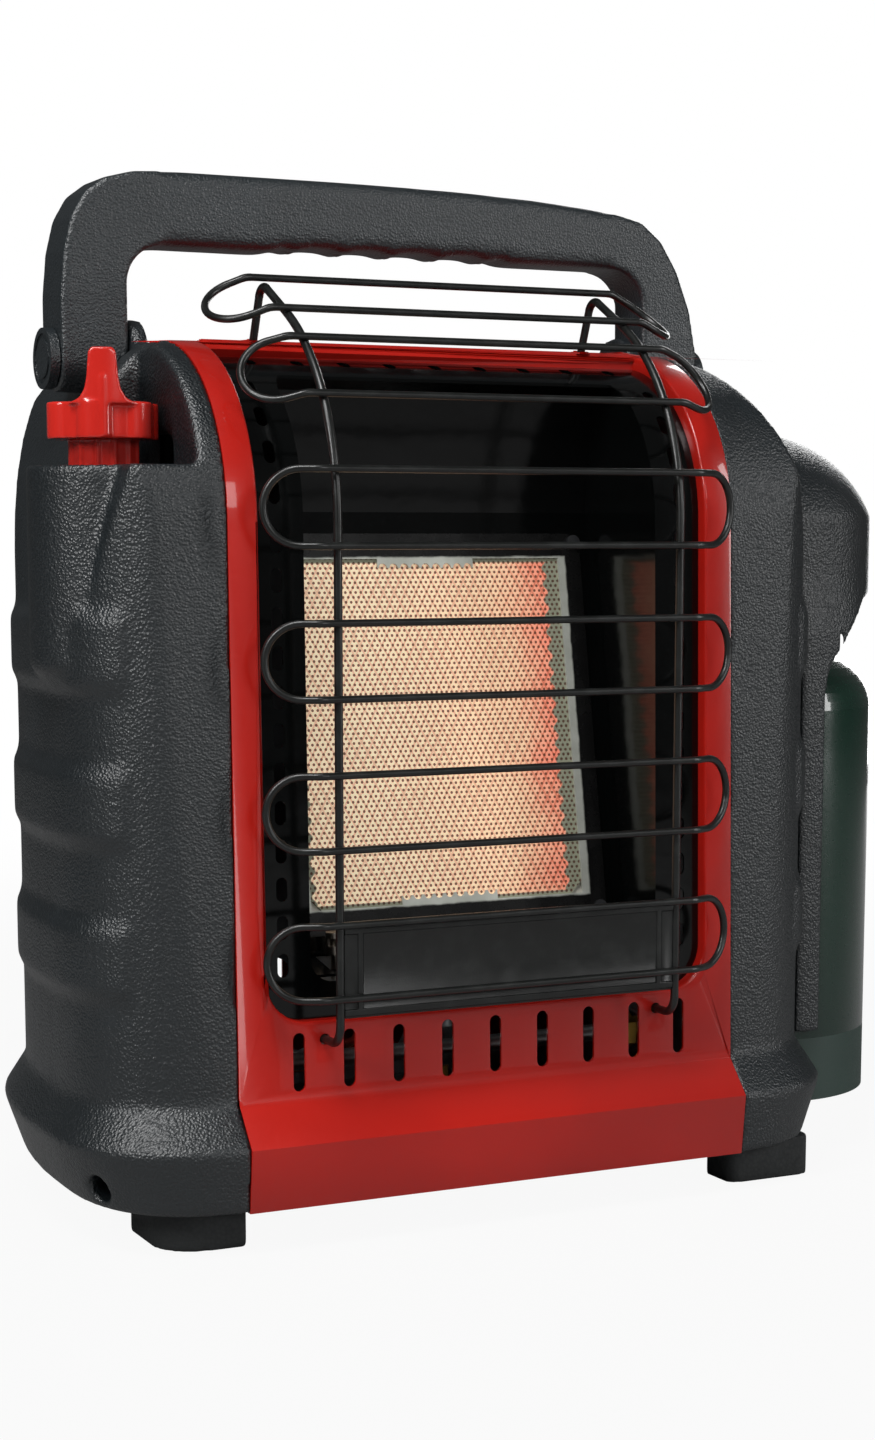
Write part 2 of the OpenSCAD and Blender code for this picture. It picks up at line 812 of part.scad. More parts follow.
// Steel angle on the base pan that carries the orifice
module orifice_bracket() {
  color("silver") difference() {
    on_burner() translate([-14, 8, orifice_z - 1.5]) {
      cube([28, 29.5, 1.5]);
      translate([0, 28, -40]) cube([28, 1.5, 41]);
    }
    on_burner() translate([0, mixer_y, orifice_z - 10]) cylinder(h = 20, r = 4.5);
    translate([-30, 0, -50]) cube([60, 100, 50 + foot_h + sheet_t]);
  }
}

module pilot_bracket() {
  color("silver") difference() {
    along_x(-62, 30) polygon([[34.5, 98], [31, 98], [31, 90.7], [14, 90.7], [14, 89.5],
      [32.2, 89.5], [32.2, 96.8], [34.5, 96.8]]);
    for (x = [-54, -46, -39]) translate([x, 22, 80]) cylinder(h = 20, r = 2);
  }
}

module pilot_burner() {
  color("lightgray") translate([-54, 22, 0]) {
    difference() {
      translate([0, 0, 82]) cylinder(h = 20, r = 2);
      translate([0, 0, 81]) cylinder(h = 20, r = 1.2);
    }
    difference() {
      translate([0, 0, 100]) cylinder(h = 8, r = 4);
      translate([0, 0, 102]) cylinder(h = 5, r = 3.2);
      translate([-5, -5, 103]) cube([10, 4, 3]);
    }
  }
}

module igniter_electrode() {
  color("white") {
    translate([-46, 22, 84]) cylinder(h = 16, r = 2);
    translate([-46, 22, 78]) cylinder(h = 30, r = 0.8);
  }
}

module thermocouple() {
  color("darkgray") {
    translate([-39, 22, 78]) cylinder(h = 30, r = 2);
    translate([-39, 22, 108]) sphere(2);
  }
}

// ---------- gas train ----------

module igniter_lead() {
  color("dimgray") tube([[-46, 22, 78], [-46, 22, 68], [-60, 40, 58], [-92, 46, 60],
    [-92, 46, 205], [-110, 46, 205], [-118, 78, 198], [-118, 78, 206]], 1.3, 3);
}

module thermocouple_lead() {
  color("peru") tube([[-39, 22, 78], [-39, 22, 70], [-56, 50, 52], [-88, 60, 52],
    [-94, 60, 44], [-106, 60, 43.5], [-116, 58, 48], [-120, 56, 214]], 1, 3);
}

module pilot_tube() {
  color("lightgray") tube([[-54, 22, 82], [-54, 22, 70], [-66, 30, 62], [-86, 38, 70],
    [-86, 38, 200], [-106, 38, 202], [-112, 38, 207], [-112, 38, 214]], 1.6, 3);
}

module manifold_tube() {
  color("silver") tube([inlet_point, inlet_point + [0, -1.6, -9.5], [-70, 52, 25], [-84, 60, 38],
    [-106, 60, 38], [-134, 58, 46], [-134, 56, 214]], 2.4, 5);
}

module supply_tube() {
  color("silver") tube([[swivel_x, swivel_y, post_z0], [swivel_x, swivel_y, 205],
    [84, swivel_y, 205], [84, 96, 196], [84, 96, 70], [84, 20, 62], [-108, 20, 62],
    [-126, 38, 66], [-128, 38, 214]], 3.2, 6);
}

module union_nut() {
  color("goldenrod") translate([58, 20, 62]) rotate([0, 90, 0]) difference() {
    union() {
      hex(14, 9);
      translate([0, 0, 9]) cylinder(h = 4, r = 5);
    }
    translate([0, 0, -1]) cylinder(h = 20, r = 3.2);
  }
}

// Sealed tilt switch that closes the valve when the heater falls over
module tip_switch() {
  color([0.25, 0.25, 0.27]) {
    translate([-70, 108, foot_h + 1.2]) linear_extrude(24) rounded(0, 0, 26, 32, 3);
    translate([-66, 112, foot_h + 25.2]) linear_extrude(5) rounded(0, 0, 18, 24, 3);
  }
}

module valve_bracket() {
  color("silver") difference() {
    union() {
      translate([-case_x - 1.5, 26, 208]) cube([1.5, 64, 50]);
      translate([-case_x - 16, 32, 240]) cube([16, 28, 1.5]);
      translate([-case_x - 28, 70, 226]) cube([28, 18, 1.5]);
    }
    translate([-118, 78, 220]) cylinder(h = 20, r = 7);
  }
}

module gas_valve() {
  color("lightgray") difference() {
    union() {
      translate([knob_x - 16, 32, 214]) cube([36, 30, 26]);
      translate([knob_x, knob_y, 240 - eps]) cylinder(h = 17, r = 13);
      for (p = [[-112, 38], [-134, 56], [-120, 56], [-128, 38]])
        translate([p[0], p[1], 210]) hex(8, 5);
    }
    translate([knob_x, knob_y, 247]) cylinder(h = 20, r = 10);
    translate([knob_x, knob_y, 232]) cylinder(h = 40, r = stem_r + pin_clear);
    for (p = [[-112, 38, 1.6], [-134, 56, 2.4], [-120, 56, 1], [-128, 38, 3.2]])
      translate([p[0], p[1], 200]) cylinder(h = 14, r = p[2]);
  }
}

// Rotor that turns with the knob while the stem slides through it
module valve_rotor() {
  color("goldenrod") translate([knob_x, knob_y, 247]) difference() {
    cylinder(h = 7, r = 10 - pin_clear);
    translate([0, 0, -1]) intersection() {
      cylinder(h = 20, r = stem_r + pin_clear);
      translate([-stem_r - 1, -stem_r - 1, 0]) cube([2 * stem_r + 2, 2 * stem_r, 20]);
    }
  }
}

module valve_stem() {
  color("lightgray") translate([knob_x, knob_y, 0]) {
    translate([0, 0, 238]) cylinder(h = 8, r = stem_r);
    difference() {
      translate([0, 0, 246 - eps]) cylinder(h = 44, r = stem_r);
      translate([-5, stem_r - 1 - pin_clear, 240]) cube([10, 5, 60]);
    }
  }
}

// Lobed knob with a raised finger bar that runs front to back
module control_knob() {
  lobe = 6;
  bar_z = knob_disc_z + knob_disc_h;
  color("red") translate([knob_x, knob_y, 0]) difference() {
    union() {
      intersection() {
        translate([0, 0, knob_disc_z]) cylinder(h = knob_disc_h, r = knob_r);
        union() {
          translate([0, 0, knob_disc_z]) cylinder(h = knob_disc_h, r = knob_r - 2.5);
          for (a = [0:360 / lobe:359])
            rotate([0, 0, a]) translate([knob_r - 7, 0, knob_disc_z]) cylinder(h = knob_disc_h, r = 7);
        }
      }
      translate([0, 0, knob_foot_z]) cylinder(h = knob_disc_z - knob_foot_z + 1, r = 11.5);
      for (a = [0:30:359])
        rotate([0, 0, a]) translate([11.5, 0, knob_foot_z])
          cylinder(h = knob_disc_z - knob_foot_z + 1, r = 1.1, $fn = 16);
      rotate([0, 0, -bar_turn]) {
        intersection() {
          translate([0, 0, knob_disc_z]) cylinder(h = 50, r = knob_r - 0.5);
          along_y(-knob_r, 2 * knob_r) polygon([[-12, bar_z - 1], [12, bar_z - 1], [8, bar_z + 1],
            [6.2, bar_z + 4], [5.4, bar_z + 8], [4.7, knob_top_z - 1.5], [3.5, knob_top_z],
            [-3.5, knob_top_z], [-4.7, knob_top_z - 1.5], [-5.4, bar_z + 8], [-6.2, bar_z + 4],
            [-8, bar_z + 1]]);
        }
        // pointer rib down the front end of the bar
        translate([0, 3.2 - knob_r, knob_disc_z + 0.5]) cylinder(h = knob_disc_h + 8, r = 3);
      }
    }
    difference() {
      translate([0, 0, knob_foot_z - 1]) cylinder(h = 290 - knob_foot_z + 1, r = stem_r);
      translate([-5, stem_r - 1 - pin_clear, 240]) cube([10, 5, 60]);
    }
    difference() {
      translate([0, 0, knob_foot_z - 1]) cylinder(h = 12, r = 9.5);
      translate([0, 0, knob_foot_z - 2]) cylinder(h = 20, r = 6.5);
    }
  }
}

module igniter_body() {
  color([0.15, 0.15, 0.15]) translate([-118, 78, 0]) {
    translate([0, 0, 206]) cylinder(h = 22, r = 7);
    translate([0, 0, 227.5]) cylinder(h = 2, r = 9);
    translate([0, 0, 229]) cylinder(h = 12, r = 6);
  }
}

// ---------- handle ----------

// Right half of the handle's outer edge, from the pivot to the middle of the grip
function round_edge(x, z) = [
  [x, pivot_z], [x, z - 60], [x - 3.5, z - 42], [x - 9.5, z - 27], [x - 17, z - 15.5],
  [x - 26, z - 8.5], [x - 44, z - 4.5], [x - 72, z - 2.2], [x - 109, z - 0.6]];

// Left half, whose shoulder is squarer
function square_edge(x, z) = [
  [x, pivot_z], [x, z - 46], [x - 1.5, z - 30], [x - 4.5, z - 18], [x - 9.5, z - 9.5],
  [x - 17, z - 4], [x - 28, z - 1.2], [x - 46, z], [x - 109, z]];

function mirrored(pts) = [for (i = [len(pts) - 1:-1:0]) [-pts[i][0], pts[i][1]]];

module handle() {
  x = arm_x + 0.5;
  inner_z = overall_h - 25;
  color([0.13, 0.14, 0.14]) difference() {
    union() {
      along_y(pivot_y - handle_d / 2, handle_d) difference() {
        polygon(concat(round_edge(x, overall_h), mirrored(square_edge(x, overall_h))));
        translate([-gap_x, 0]) square([2 * gap_x, inner_z - 16]);
        translate([-gap_x + 14, 0]) square([2 * gap_x - 28, inner_z - 2]);
        translate([-gap_x + 60, 0]) square([2 * gap_x - 120, inner_z]);
        for (s = [-1, 1]) translate([s * (gap_x - 14), inner_z - 16]) circle(14);
      }
      both_sides() translate([-arm_x - 0.5, pivot_y, pivot_z]) rotate([0, 90, 0])
        cylinder(h = arm_w + 0.5, r = arm_end_r);
      for (i = [0:rib_n - 1])
        translate([(i - (rib_n - 1) / 2) * rib_pitch, pivot_y - handle_d / 2 + 1, inner_z + 0.2])
          rotate([-90, 0, 0]) cylinder(h = handle_d - 2, r = rib_r);
    }
    translate([-arm_x - 5, pivot_y, pivot_z]) rotate([0, 90, 0])
      cylinder(h = 2 * arm_x + 10, r = pin_r + pin_clear);
  }
}

// Pivot pins pressed into the housings' lugs, with a round cap outside each arm
module handle_pins() {
  color([0.1, 0.1, 0.1]) both_sides() translate([-arm_x - 0.5 - cap_gap - cap_t, pivot_y, pivot_z])
    rotate([0, 90, 0]) {
      cylinder(h = arm_x + 0.5 + cap_gap + cap_t - lug_x0 - 0.5, r = pin_r);
      difference() {
        cylinder(h = cap_t, r = cap_r);
        translate([0, 0, -1]) difference() {
          cylinder(h = 1.6, r = cap_r - 2);
          cylinder(h = 1.6, r = cap_r - 4);
        }
      }
    }
}

// ---------- guard ----------

// Frame on the upright's arc, the length s beyond its straight foot
module at_upright(s) {
  a = min(s, guard_arc_len) / guard_r * 180 / PI;
  translate([0, front_cy, front_cz]) rotate([-a, 0, 0])
    translate([0, -guard_r, max(0, s - guard_arc_len)]) children();
}

module upright() {
  r = upright_d / 2;
  a = guard_arc;
  along = [0, sin(a), cos(a)];
  arc_end = [0, front_cy - guard_r * cos(a), front_cz + guard_r * sin(a)];
  seat = [0, opening_top_y + 4, case_top - sheet_t - 3];
  translate([0, front_cy, front_cz]) rotate([90, 0, 90]) rotate([0, 0, 180 - a])
    rotate_extrude(angle = a) translate([guard_r, 0]) circle(r + bend_step);
  tube([arc_end - bend_lap * along, arc_end + guard_rise * along, seat], r, 5);
  tube([[0, guard_y, front_cz + bend_lap], [0, guard_y, hook_z], [0, sheet_t + 3, hook_z]], r, 7);
}

// One racetrack loop in the X-Z plane through the origin, with its ends bent back
module loop() {
  r = loop_d / 2;
  flat_x = loop_w / 2 - loop_end;
  run = loop_end / cos(loop_bend) - loop_h / 2;
  back = [cos(loop_bend), sin(loop_bend)];
  end = [flat_x, 0] + run * back;
  past = end + bend_lap * back;
  for (z = [-loop_h / 2, loop_h / 2])
    tube([[-past[0], past[1], z], [-flat_x, 0, z], [flat_x, 0, z], [past[0], past[1], z]], r, 8);
  both_sides() translate([-end[0], end[1], 0]) rotate([0, 0, -loop_bend]) rotate([90, 0, 0])
    rotate([0, 0, 90]) rotate_extrude(angle = 180) translate([loop_h / 2, 0]) circle(r + bend_step);
}

module wire_guard() {
  sagitta = guard_r - sqrt(guard_r * guard_r - loop_h * loop_h / 4);
  color([0.1, 0.1, 0.1]) {
    for (x = [-guard_x, guard_x]) translate([x, 0, 0]) upright();
    for (i = [0:3]) translate([0, guard_y - loop_off, loop_first_z + i * loop_pitch]) loop();
    at_upright(loop_first_z + 4 * loop_pitch - front_cz) translate([0, sagitta - loop_off, 0]) loop();
    at_upright(guard_arc_len + loop_h / 2 - 2) translate([0, -loop_off, 0]) loop();
  }
}

// Bare plate clipped between the uprights, with a rolled border
module guard_plate() {
  x = guard_x - upright_d / 2;
  color([0.08, 0.08, 0.08]) difference() {
    union() {
      translate([-x, guard_y - plate_t / 2, plate_z0]) cube([2 * x, plate_t, plate_z1 - plate_z0]);
      for (z = [plate_z0 + 2, plate_z1 - 2])
        translate([-x, guard_y - 1, z - 1.2]) cube([2 * x, 2, 2.4]);
      both_sides() translate([-x + 5, guard_y - 1, plate_z0 + 2]) cube([2, 2, plate_z1 - plate_z0 - 4]);
    }
  }
}

// ---------- regulator and gas cylinder ----------

module swivel_bracket() {
  color("silver") difference() {
    union() {
      translate([bay_x, swivel_y - 11, post_z0 - 1.5]) cube([swivel_x - bay_x + 8, 22, 1.5]);
      translate([bay_x, swivel_y - 11, post_z0 - 9]) cube([1.5, 22, 9]);
    }
    translate([swivel_x, swivel_y, post_z0 - 5]) cylinder(h = 10, r = 3.4);
  }
}

module swivel_post() {
  color("goldenrod") translate([swivel_x, swivel_y, post_z0]) {
    difference() {
      union() {
        cylinder(h = 4, r = 8);
        cylinder(h = arm_z + 9 - post_z0, r = post_r);
        translate([0, 0, arm_z + 9 - post_z0 - eps]) cylinder(h = 6, r = 4);
      }
      translate([0, 0, -1]) cylinder(h = 20, r = 2.4);
    }
  }
}

module swivel_nut() {
  color("goldenrod") translate([swivel_x, swivel_y, arm_z + 9]) difference() {
    hex(13, 5);
    translate([0, 0, -1]) cylinder(h = 10, r = 4);
  }
}

// Lower casting of the regulator, with the arm that turns on the swivel post
module regulator_body() {
  centre = [cyl_x, cyl_y, arm_z];
  swivel = [swivel_x, swivel_y, arm_z];
  color("silver") difference() {
    union() {
      translate([cyl_x, cyl_y, reg_z]) cylinder(h = 14, r = reg_r - 1.2);
      translate([cyl_x, cyl_y, reg_z + 14 - eps]) cylinder(h = 4 + eps, r = reg_r);
      bar(centre + 26 * unit(swivel - centre), swivel - (post_r + 1) * unit(swivel - centre), 4.5);
      translate([swivel_x, swivel_y, arm_z - 8]) cylinder(h = 16.7, r = post_r + 2.5);
    }
    translate([swivel_x, swivel_y, arm_z - 20]) cylinder(h = 40, r = post_r + pin_clear);
    translate([cyl_x, cyl_y, reg_z + 12]) cylinder(h = 10, r = reg_r - 7.5);
    regulator_screw_places() cylinder(h = 30, r = screw_r, center = true);
  }
}

module regulator_cap() {
  color("silver") difference() {
    union() {
      translate([cyl_x, cyl_y, reg_z + 18]) cylinder(h = 3, r = reg_r);
      translate([cyl_x, cyl_y, reg_z + 21 - eps]) cylinder(h = 10, r1 = reg_r - 8, r2 = reg_r - 14);
      translate([cyl_x, cyl_y, reg_z + 31 - 2 * eps]) cylinder(h = 4, r = 8);
    }
    regulator_screw_places() cylinder(h = 30, r = screw_r, center = true);
  }
}

module regulator_screw_places() {
  for (a = [0:60:300])
    translate([cyl_x, cyl_y, reg_z + 21]) rotate([0, 0, a]) translate([reg_r - 4, 0, 0]) children();
}

module regulator_screws() {
  color("lightgray") regulator_screw_places() screw(7);
}

// Brass socket under the regulator that takes the cylinder's neck
module regulator_inlet() {
  color("goldenrod") translate([cyl_x, cyl_y, 0]) difference() {
    union() {
      translate([0, 0, neck_z + 8]) cylinder(h = neck_h - 6, r = 16.5);
      translate([0, 0, neck_z + neck_h - 1]) cylinder(h = reg_z - neck_z - neck_h + 1, r = 10);
    }
    translate([0, 0, neck_z + 6]) cylinder(h = seal_z - neck_z - 2.4, r = neck_r + pin_clear);
    translate([0, 0, neck_z + 8]) cylinder(h = neck_h - 5, r = 5.5);
  }
}

// Threaded neck ring of the cylinder with its valve
module cylinder_neck() {
  color("silver") translate([cyl_x, cyl_y, neck_z]) difference() {
    union() {
      cylinder(h = neck_h - 6, r = neck_r);
      for (i = [0:4]) translate([0, 0, 9 + i * 1.8]) cylinder(h = 0.8, r = neck_r);
      translate([0, 0, neck_h - 6 - eps]) cylinder(h = 3, r = 4);
    }
    translate([0, 0, seal_z - neck_z]) difference() {
      cylinder(h = 4, r = seal_r);
      cylinder(h = 4, r = 4);
    }
    for (i = [0:4]) translate([0, 0, 9.9 + i * 1.6]) difference() {
      cylinder(h = 0.6, r = neck_r + 1);
      cylinder(h = 0.6, r = neck_r - 0.6);
    }
  }
}

// Half section of the cylinder's outside, drawn in by d: foot, wall and shoulder
module cylinder_section(d) {
  r = cyl_r - d;
  shoulder_h = 26;
  steps = 12;
  polygon(concat([[0, cyl_z0 + 4 + d], [r - 8, cyl_z0 + 4 + d], [r, cyl_z0 + 12 + d]],
    [for (i = [0:steps]) let (a = 90 * i / steps)
      [neck_r - 2 + (r - neck_r + 2) * cos(a), cyl_top - shoulder_h - d + shoulder_h * sin(a)]],
    [[0, cyl_top - d]]));
}

// Seal washer in the groove round the cylinder's valve; it rises and sinks without turning
module neck_seal() {
  color([0.1, 0.1, 0.1]) translate([cyl_x, cyl_y, seal_z]) difference() {
    cylinder(h = 3.6, r = seal_r - pin_clear);
    translate([0, 0, -1]) cylinder(h = 6, r = 4 + pin_clear);
  }
}

module gas_cylinder() {
  color([0.06, 0.2, 0.17]) translate([cyl_x, cyl_y, 0]) difference() {
    rotate_extrude() cylinder_section(0);
    rotate_extrude() cylinder_section(cyl_t);
    translate([0, 0, cyl_z0 - 1]) difference() {
      cylinder(h = cyl_ring_h + 1, r = cyl_r + 1);
      translate([0, 0, -1]) cylinder(h = cyl_ring_h + 3, r = cyl_r - 0.5);
    }
    translate([0, 0, neck_z]) cylinder(h = 30, r = 9);
    translate([0, 0, neck_z]) cylinder(h = 30, r = neck_r);
  }
}

// Plastic foot ring pressed over the cylinder's lower end
module cylinder_foot_ring() {
  color([0.07, 0.22, 0.18]) translate([cyl_x, cyl_y, cyl_z0]) difference() {
    cylinder(h = cyl_ring_h, r = cyl_r);
    translate([0, 0, -1]) cylinder(h = cyl_ring_h + 2, r = cyl_r - 0.5);
  }
}

// ---------- fasteners ----------

module retainer_screws() {
  color("lightgray") on_burner()
    for (x = [-tile_w / 2 - 4, tile_w / 2 + 4], z = [-3.5, tile_h + 3.5])
      translate([x, -0.8, z]) rotate([90, 0, 0]) {
        cylinder(h = 1.2, r = 2.8);
        translate([0, 0, -2.8]) cylinder(h = 3, r = 1.6);
      }
}

module cover_screws() {
  color("dimgray") for (z = [110, 225]) {
    for (x = [-90, 90]) translate([x, case_depth, z]) rotate([-90, 0, 0]) screw(8);
  }
}

// Screws that hold the feet: three through the housings' floors, one through the pan
module base_screw_places() {
  for (p = [[-case_x - 17, 14], [case_x + 17, 14], [-case_x - 8, 145]])
    translate([p[0], p[1], foot_h + housing_t]) children();
  translate([case_x - 13, 150, foot_h + sheet_t]) children();
}

module base_screws() {
  color("dimgray") base_screw_places() screw(10);
}

placed() {
  front_panel();
  rear_cover();
  left_side_plate();
  right_side_plate();
  base_pan();
  left_housing();
  right_housing();
  regulator_hood();
  feet();
  mouth_surround();
  reflector();
  ceramic_tile();
  tile_retainer();
  tile_gasket();
  burner_plenum();
  mixer_tube();
  orifice();
  orifice_bracket();
  pilot_bracket();
  pilot_burner();
  igniter_electrode();
  thermocouple();
  igniter_lead();
  thermocouple_lead();
  pilot_tube();
  manifold_tube();
  supply_tube();
  union_nut();
  tip_switch();
  valve_bracket();
  gas_valve();
  valve_rotor();
  valve_stem();
  control_knob();
  igniter_body();
  handle();
  handle_pins();
  wire_guard();
  guard_plate();
  swivel_bracket();
  swivel_post();
  swivel_nut();
  regulator_body();
  regulator_cap();
  regulator_inlet();
  regulator_screws();
  neck_seal();
  cylinder_neck();
  gas_cylinder();
  cylinder_foot_ring();
  retainer_screws();
  cover_screws();
  base_screws();
}
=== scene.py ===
# %% [markdown]
# # A portable radiant gas heater
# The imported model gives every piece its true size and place. This lesson keeps that frame,
# rebuilds the pieces whose softness the eye would miss, and gives each surface a finish
# that is made of nodes. Sizes are in metres, and every place is measured from the casing.

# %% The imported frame
import bpy
import json
import math
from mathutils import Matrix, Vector

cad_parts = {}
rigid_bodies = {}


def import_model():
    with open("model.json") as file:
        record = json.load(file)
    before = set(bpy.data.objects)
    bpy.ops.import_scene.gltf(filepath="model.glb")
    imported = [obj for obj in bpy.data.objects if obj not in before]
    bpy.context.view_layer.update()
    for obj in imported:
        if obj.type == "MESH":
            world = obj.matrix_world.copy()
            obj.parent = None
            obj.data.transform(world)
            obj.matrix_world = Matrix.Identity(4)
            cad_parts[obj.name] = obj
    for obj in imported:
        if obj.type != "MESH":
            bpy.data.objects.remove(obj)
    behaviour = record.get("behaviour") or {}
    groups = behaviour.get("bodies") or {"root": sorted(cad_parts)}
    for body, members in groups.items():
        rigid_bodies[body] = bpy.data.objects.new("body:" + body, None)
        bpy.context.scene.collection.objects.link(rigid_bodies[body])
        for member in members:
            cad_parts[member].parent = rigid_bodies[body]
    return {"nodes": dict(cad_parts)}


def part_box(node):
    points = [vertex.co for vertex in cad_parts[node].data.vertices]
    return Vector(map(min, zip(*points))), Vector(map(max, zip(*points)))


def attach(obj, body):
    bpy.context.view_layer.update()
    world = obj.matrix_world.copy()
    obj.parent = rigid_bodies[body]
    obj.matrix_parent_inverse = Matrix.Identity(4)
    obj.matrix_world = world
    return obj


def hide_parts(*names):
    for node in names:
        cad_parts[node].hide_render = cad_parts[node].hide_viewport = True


bpy.ops.object.select_all(action="SELECT")
bpy.ops.object.delete()
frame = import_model()
nodes = frame["nodes"]
bpy.context.view_layer.update()

# %% [markdown]
# The drawing of the heater counts X from the middle of the casing, Y back from its front
# face and Z up from the floor, in millimetres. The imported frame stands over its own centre
# instead, so one helper turns a drawing place into a place in the frame.

# %% Places on the drawing
MM = 0.001
COVER_BACK = 178.0  # from the casing's front face to the back of the rear cover

casing_low, casing_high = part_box("front_panel")
casing_mid_x = (casing_low.x + casing_high.x) / 2
front_face_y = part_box("rear_cover")[1].y - COVER_BACK * MM


def spot(x, y, z):
    """A place on the drawing, in millimetres, as a place in the frame, in metres."""
    return Vector((casing_mid_x + x * MM, front_face_y + y * MM, z * MM))


print("casing middle:", [round(v, 4) for v in spot(0, 0, 0)])

# %% [markdown]
# A finish is a material that is built in code. Two small classes keep that readable: a
# `Signal` is one output socket on which plain arithmetic adds Math nodes, and a `Finish`
# owns the material and adds every other node.

# %% A signal that does sums
class Signal:
    """One output socket of a finish. Arithmetic on it adds Math nodes."""

    def __init__(self, finish, socket):
        self.finish = finish
        self.socket = socket

    def maths(self, operation, *values):
        """Adds one Math node and returns its result."""
        sockets = dict(enumerate(values))
        return self.finish.add("ShaderNodeMath", {"operation": operation}, sockets)

    def __add__(self, other):
        return self.maths("ADD", self, other)

    def __sub__(self, other):
        return self.maths("SUBTRACT", self, other)

    def __rsub__(self, other):
        return self.maths("SUBTRACT", other, self)

    def __mul__(self, other):
        return self.maths("MULTIPLY", self, other)

    __radd__ = __add__
    __rmul__ = __mul__

    def wrapped(self, step):
        """The distance from the nearest whole multiple of a step."""
        return self.maths("PINGPONG", self, step / 2)

    def root(self):
        return self.maths("SQRT", self)

    def unsigned(self):
        return self.maths("ABSOLUTE", self)

    def wave(self, length):
        """A sine wave of a given length along this signal, from -1 to 1."""
        turns = self * (2 * math.pi / length)
        return turns.maths("SINE", turns)

    def smaller(self, other):
        return self.maths("MINIMUM", self, other)

    def larger(self, other):
        return self.maths("MAXIMUM", self, other)

    def length_with(self, other):
        """The length of the line whose two sides are this signal and another."""
        return (self * self + other * other).root()

    def ramp(self, low, high):
        """0 below low, 1 above high, and a smooth step between."""
        return self.finish.add(
            "ShaderNodeMapRange",
            {"interpolation_type": "SMOOTHSTEP"},
            {"Value": self, "From Min": low, "From Max": high},
        )


# %% A finish that adds nodes
class Finish:
    """A material in the making: its node tree and its Principled shader."""

    def __init__(self, name, **constants):
        self.material = bpy.data.materials.new(name)
        self.material.use_nodes = True
        self.tree = self.material.node_tree
        self.shader = self.tree.nodes["Principled BSDF"]
        for socket, value in constants.items():
            self.feed(self.shader, socket.replace("_", " "), value)

    def feed(self, node, socket, value):
        """Sets a socket to a value, or links a signal to it."""
        if isinstance(value, Signal):
            self.tree.links.new(value.socket, node.inputs[socket])
        else:
            node.inputs[socket].default_value = value

    def add(self, kind, settings, sockets, output=0):
        """Adds one node and returns the signal of one of its outputs."""
        node = self.tree.nodes.new(kind)
        for setting, value in settings.items():
            setattr(node, setting, value)
        for socket, value in sockets.items():
            self.feed(node, socket, value)
        return Signal(self, node.outputs[output])

    def place(self, where=(0, 0, 0), turn=(0, 0, 0), scale=(1, 1, 1)):
        """Object coordinates, counted from a place, along axes that are turned and scaled."""
        raw = self.add("ShaderNodeTexCoord", {}, {}, "Object")
        sockets = {"Vector": raw, "Location": where, "Rotation": turn, "Scale": scale}
        return self.add("ShaderNodeMapping", {"vector_type": "TEXTURE"}, sockets)

    def split(self, vector):
        """The three numbers of a vector."""
        first = self.add("ShaderNodeSeparateXYZ", {}, {"Vector": vector})
        outputs = first.socket.node.outputs
        return [Signal(self, outputs[i]) for i in range(3)]

    def noise(self, vector, scale, detail=2.0, rough=0.5):
        """Cloudy noise from 0 to 1; the scale is in lumps per metre."""
        sockets = {"Vector": vector, "Scale": scale, "Detail": detail, "Roughness": rough}
        return self.add("ShaderNodeTexNoise", {}, sockets, "Fac")

    def cells(self, vector, scale):
        """The distance from the middle of the nearest of many random cells."""
        sockets = {"Vector": vector, "Scale": scale}
        return self.add("ShaderNodeTexVoronoi", {}, sockets, "Distance")

    def mix(self, one, other, share):
        """A colour that goes from one to another as the share goes from 0 to 1."""
        sockets = {0: share, 6: one, 7: other}
        return self.add("ShaderNodeMix", {"data_type": "RGBA"}, sockets, 2)

    def relief(self, height, depth, strength=1.0):
        """Bump that feeds the shader's normal; the depth is in metres."""
        sockets = {"Height": height, "Distance": depth, "Strength": strength}
        self.feed(self.shader, "Normal", self.add("ShaderNodeBump", {}, sockets))


def paint(code):
    """A colour code as linear red, green, blue and alpha."""
    parts = [int(code[i : i + 2], 16) / 255 for i in (1, 3, 5)]
    linear = [c / 12.92 if c <= 0.04045 else ((c + 0.055) / 1.055) ** 2.4 for c in parts]
    return (*linear, 1.0)


print("gloss red as linear:", [round(c, 3) for c in paint("#C02A1E")])

# %% [markdown]
# ## Finishes
# The casing is sheet steel with a baked gloss paint. Baked paint is never quite flat: a
# shallow orange peel bends its reflections, and the colour deepens a little here and
# there. A clear coat over the coloured base gives the double gloss of paint.

# %% Baked paint
def baked_paint(name, colour, deeper, peel, roughness, coat):
    finish = Finish(name, Coat_Weight=coat, Coat_Roughness=0.06, Specular_IOR_Level=0.3)
    where = finish.place()
    drift = finish.noise(where, scale=9.0, detail=3.0)
    speck = finish.noise(where, scale=900.0, detail=1.0)
    base = finish.mix(paint(colour), paint(deeper), drift.ramp(low=0.35, high=0.75))
    finish.feed(finish.shader, "Base Color", base)
    finish.feed(finish.shader, "Roughness", roughness + 0.12 * (speck - 0.5))
    finish.relief(finish.noise(where, peel, detail=1.0), depth=0.00012, strength=0.35)
    return finish.material


red_paint = baked_paint(
    "red_baked_paint", "#B81C12", "#A3160E", peel=260.0, roughness=0.32, coat=0.6)
green_paint = baked_paint(
    "green_cylinder_paint", "#0D3024", "#0A261D", peel=180.0, roughness=0.25, coat=0.8)
print("baked paints:", red_paint.name, green_paint.name)

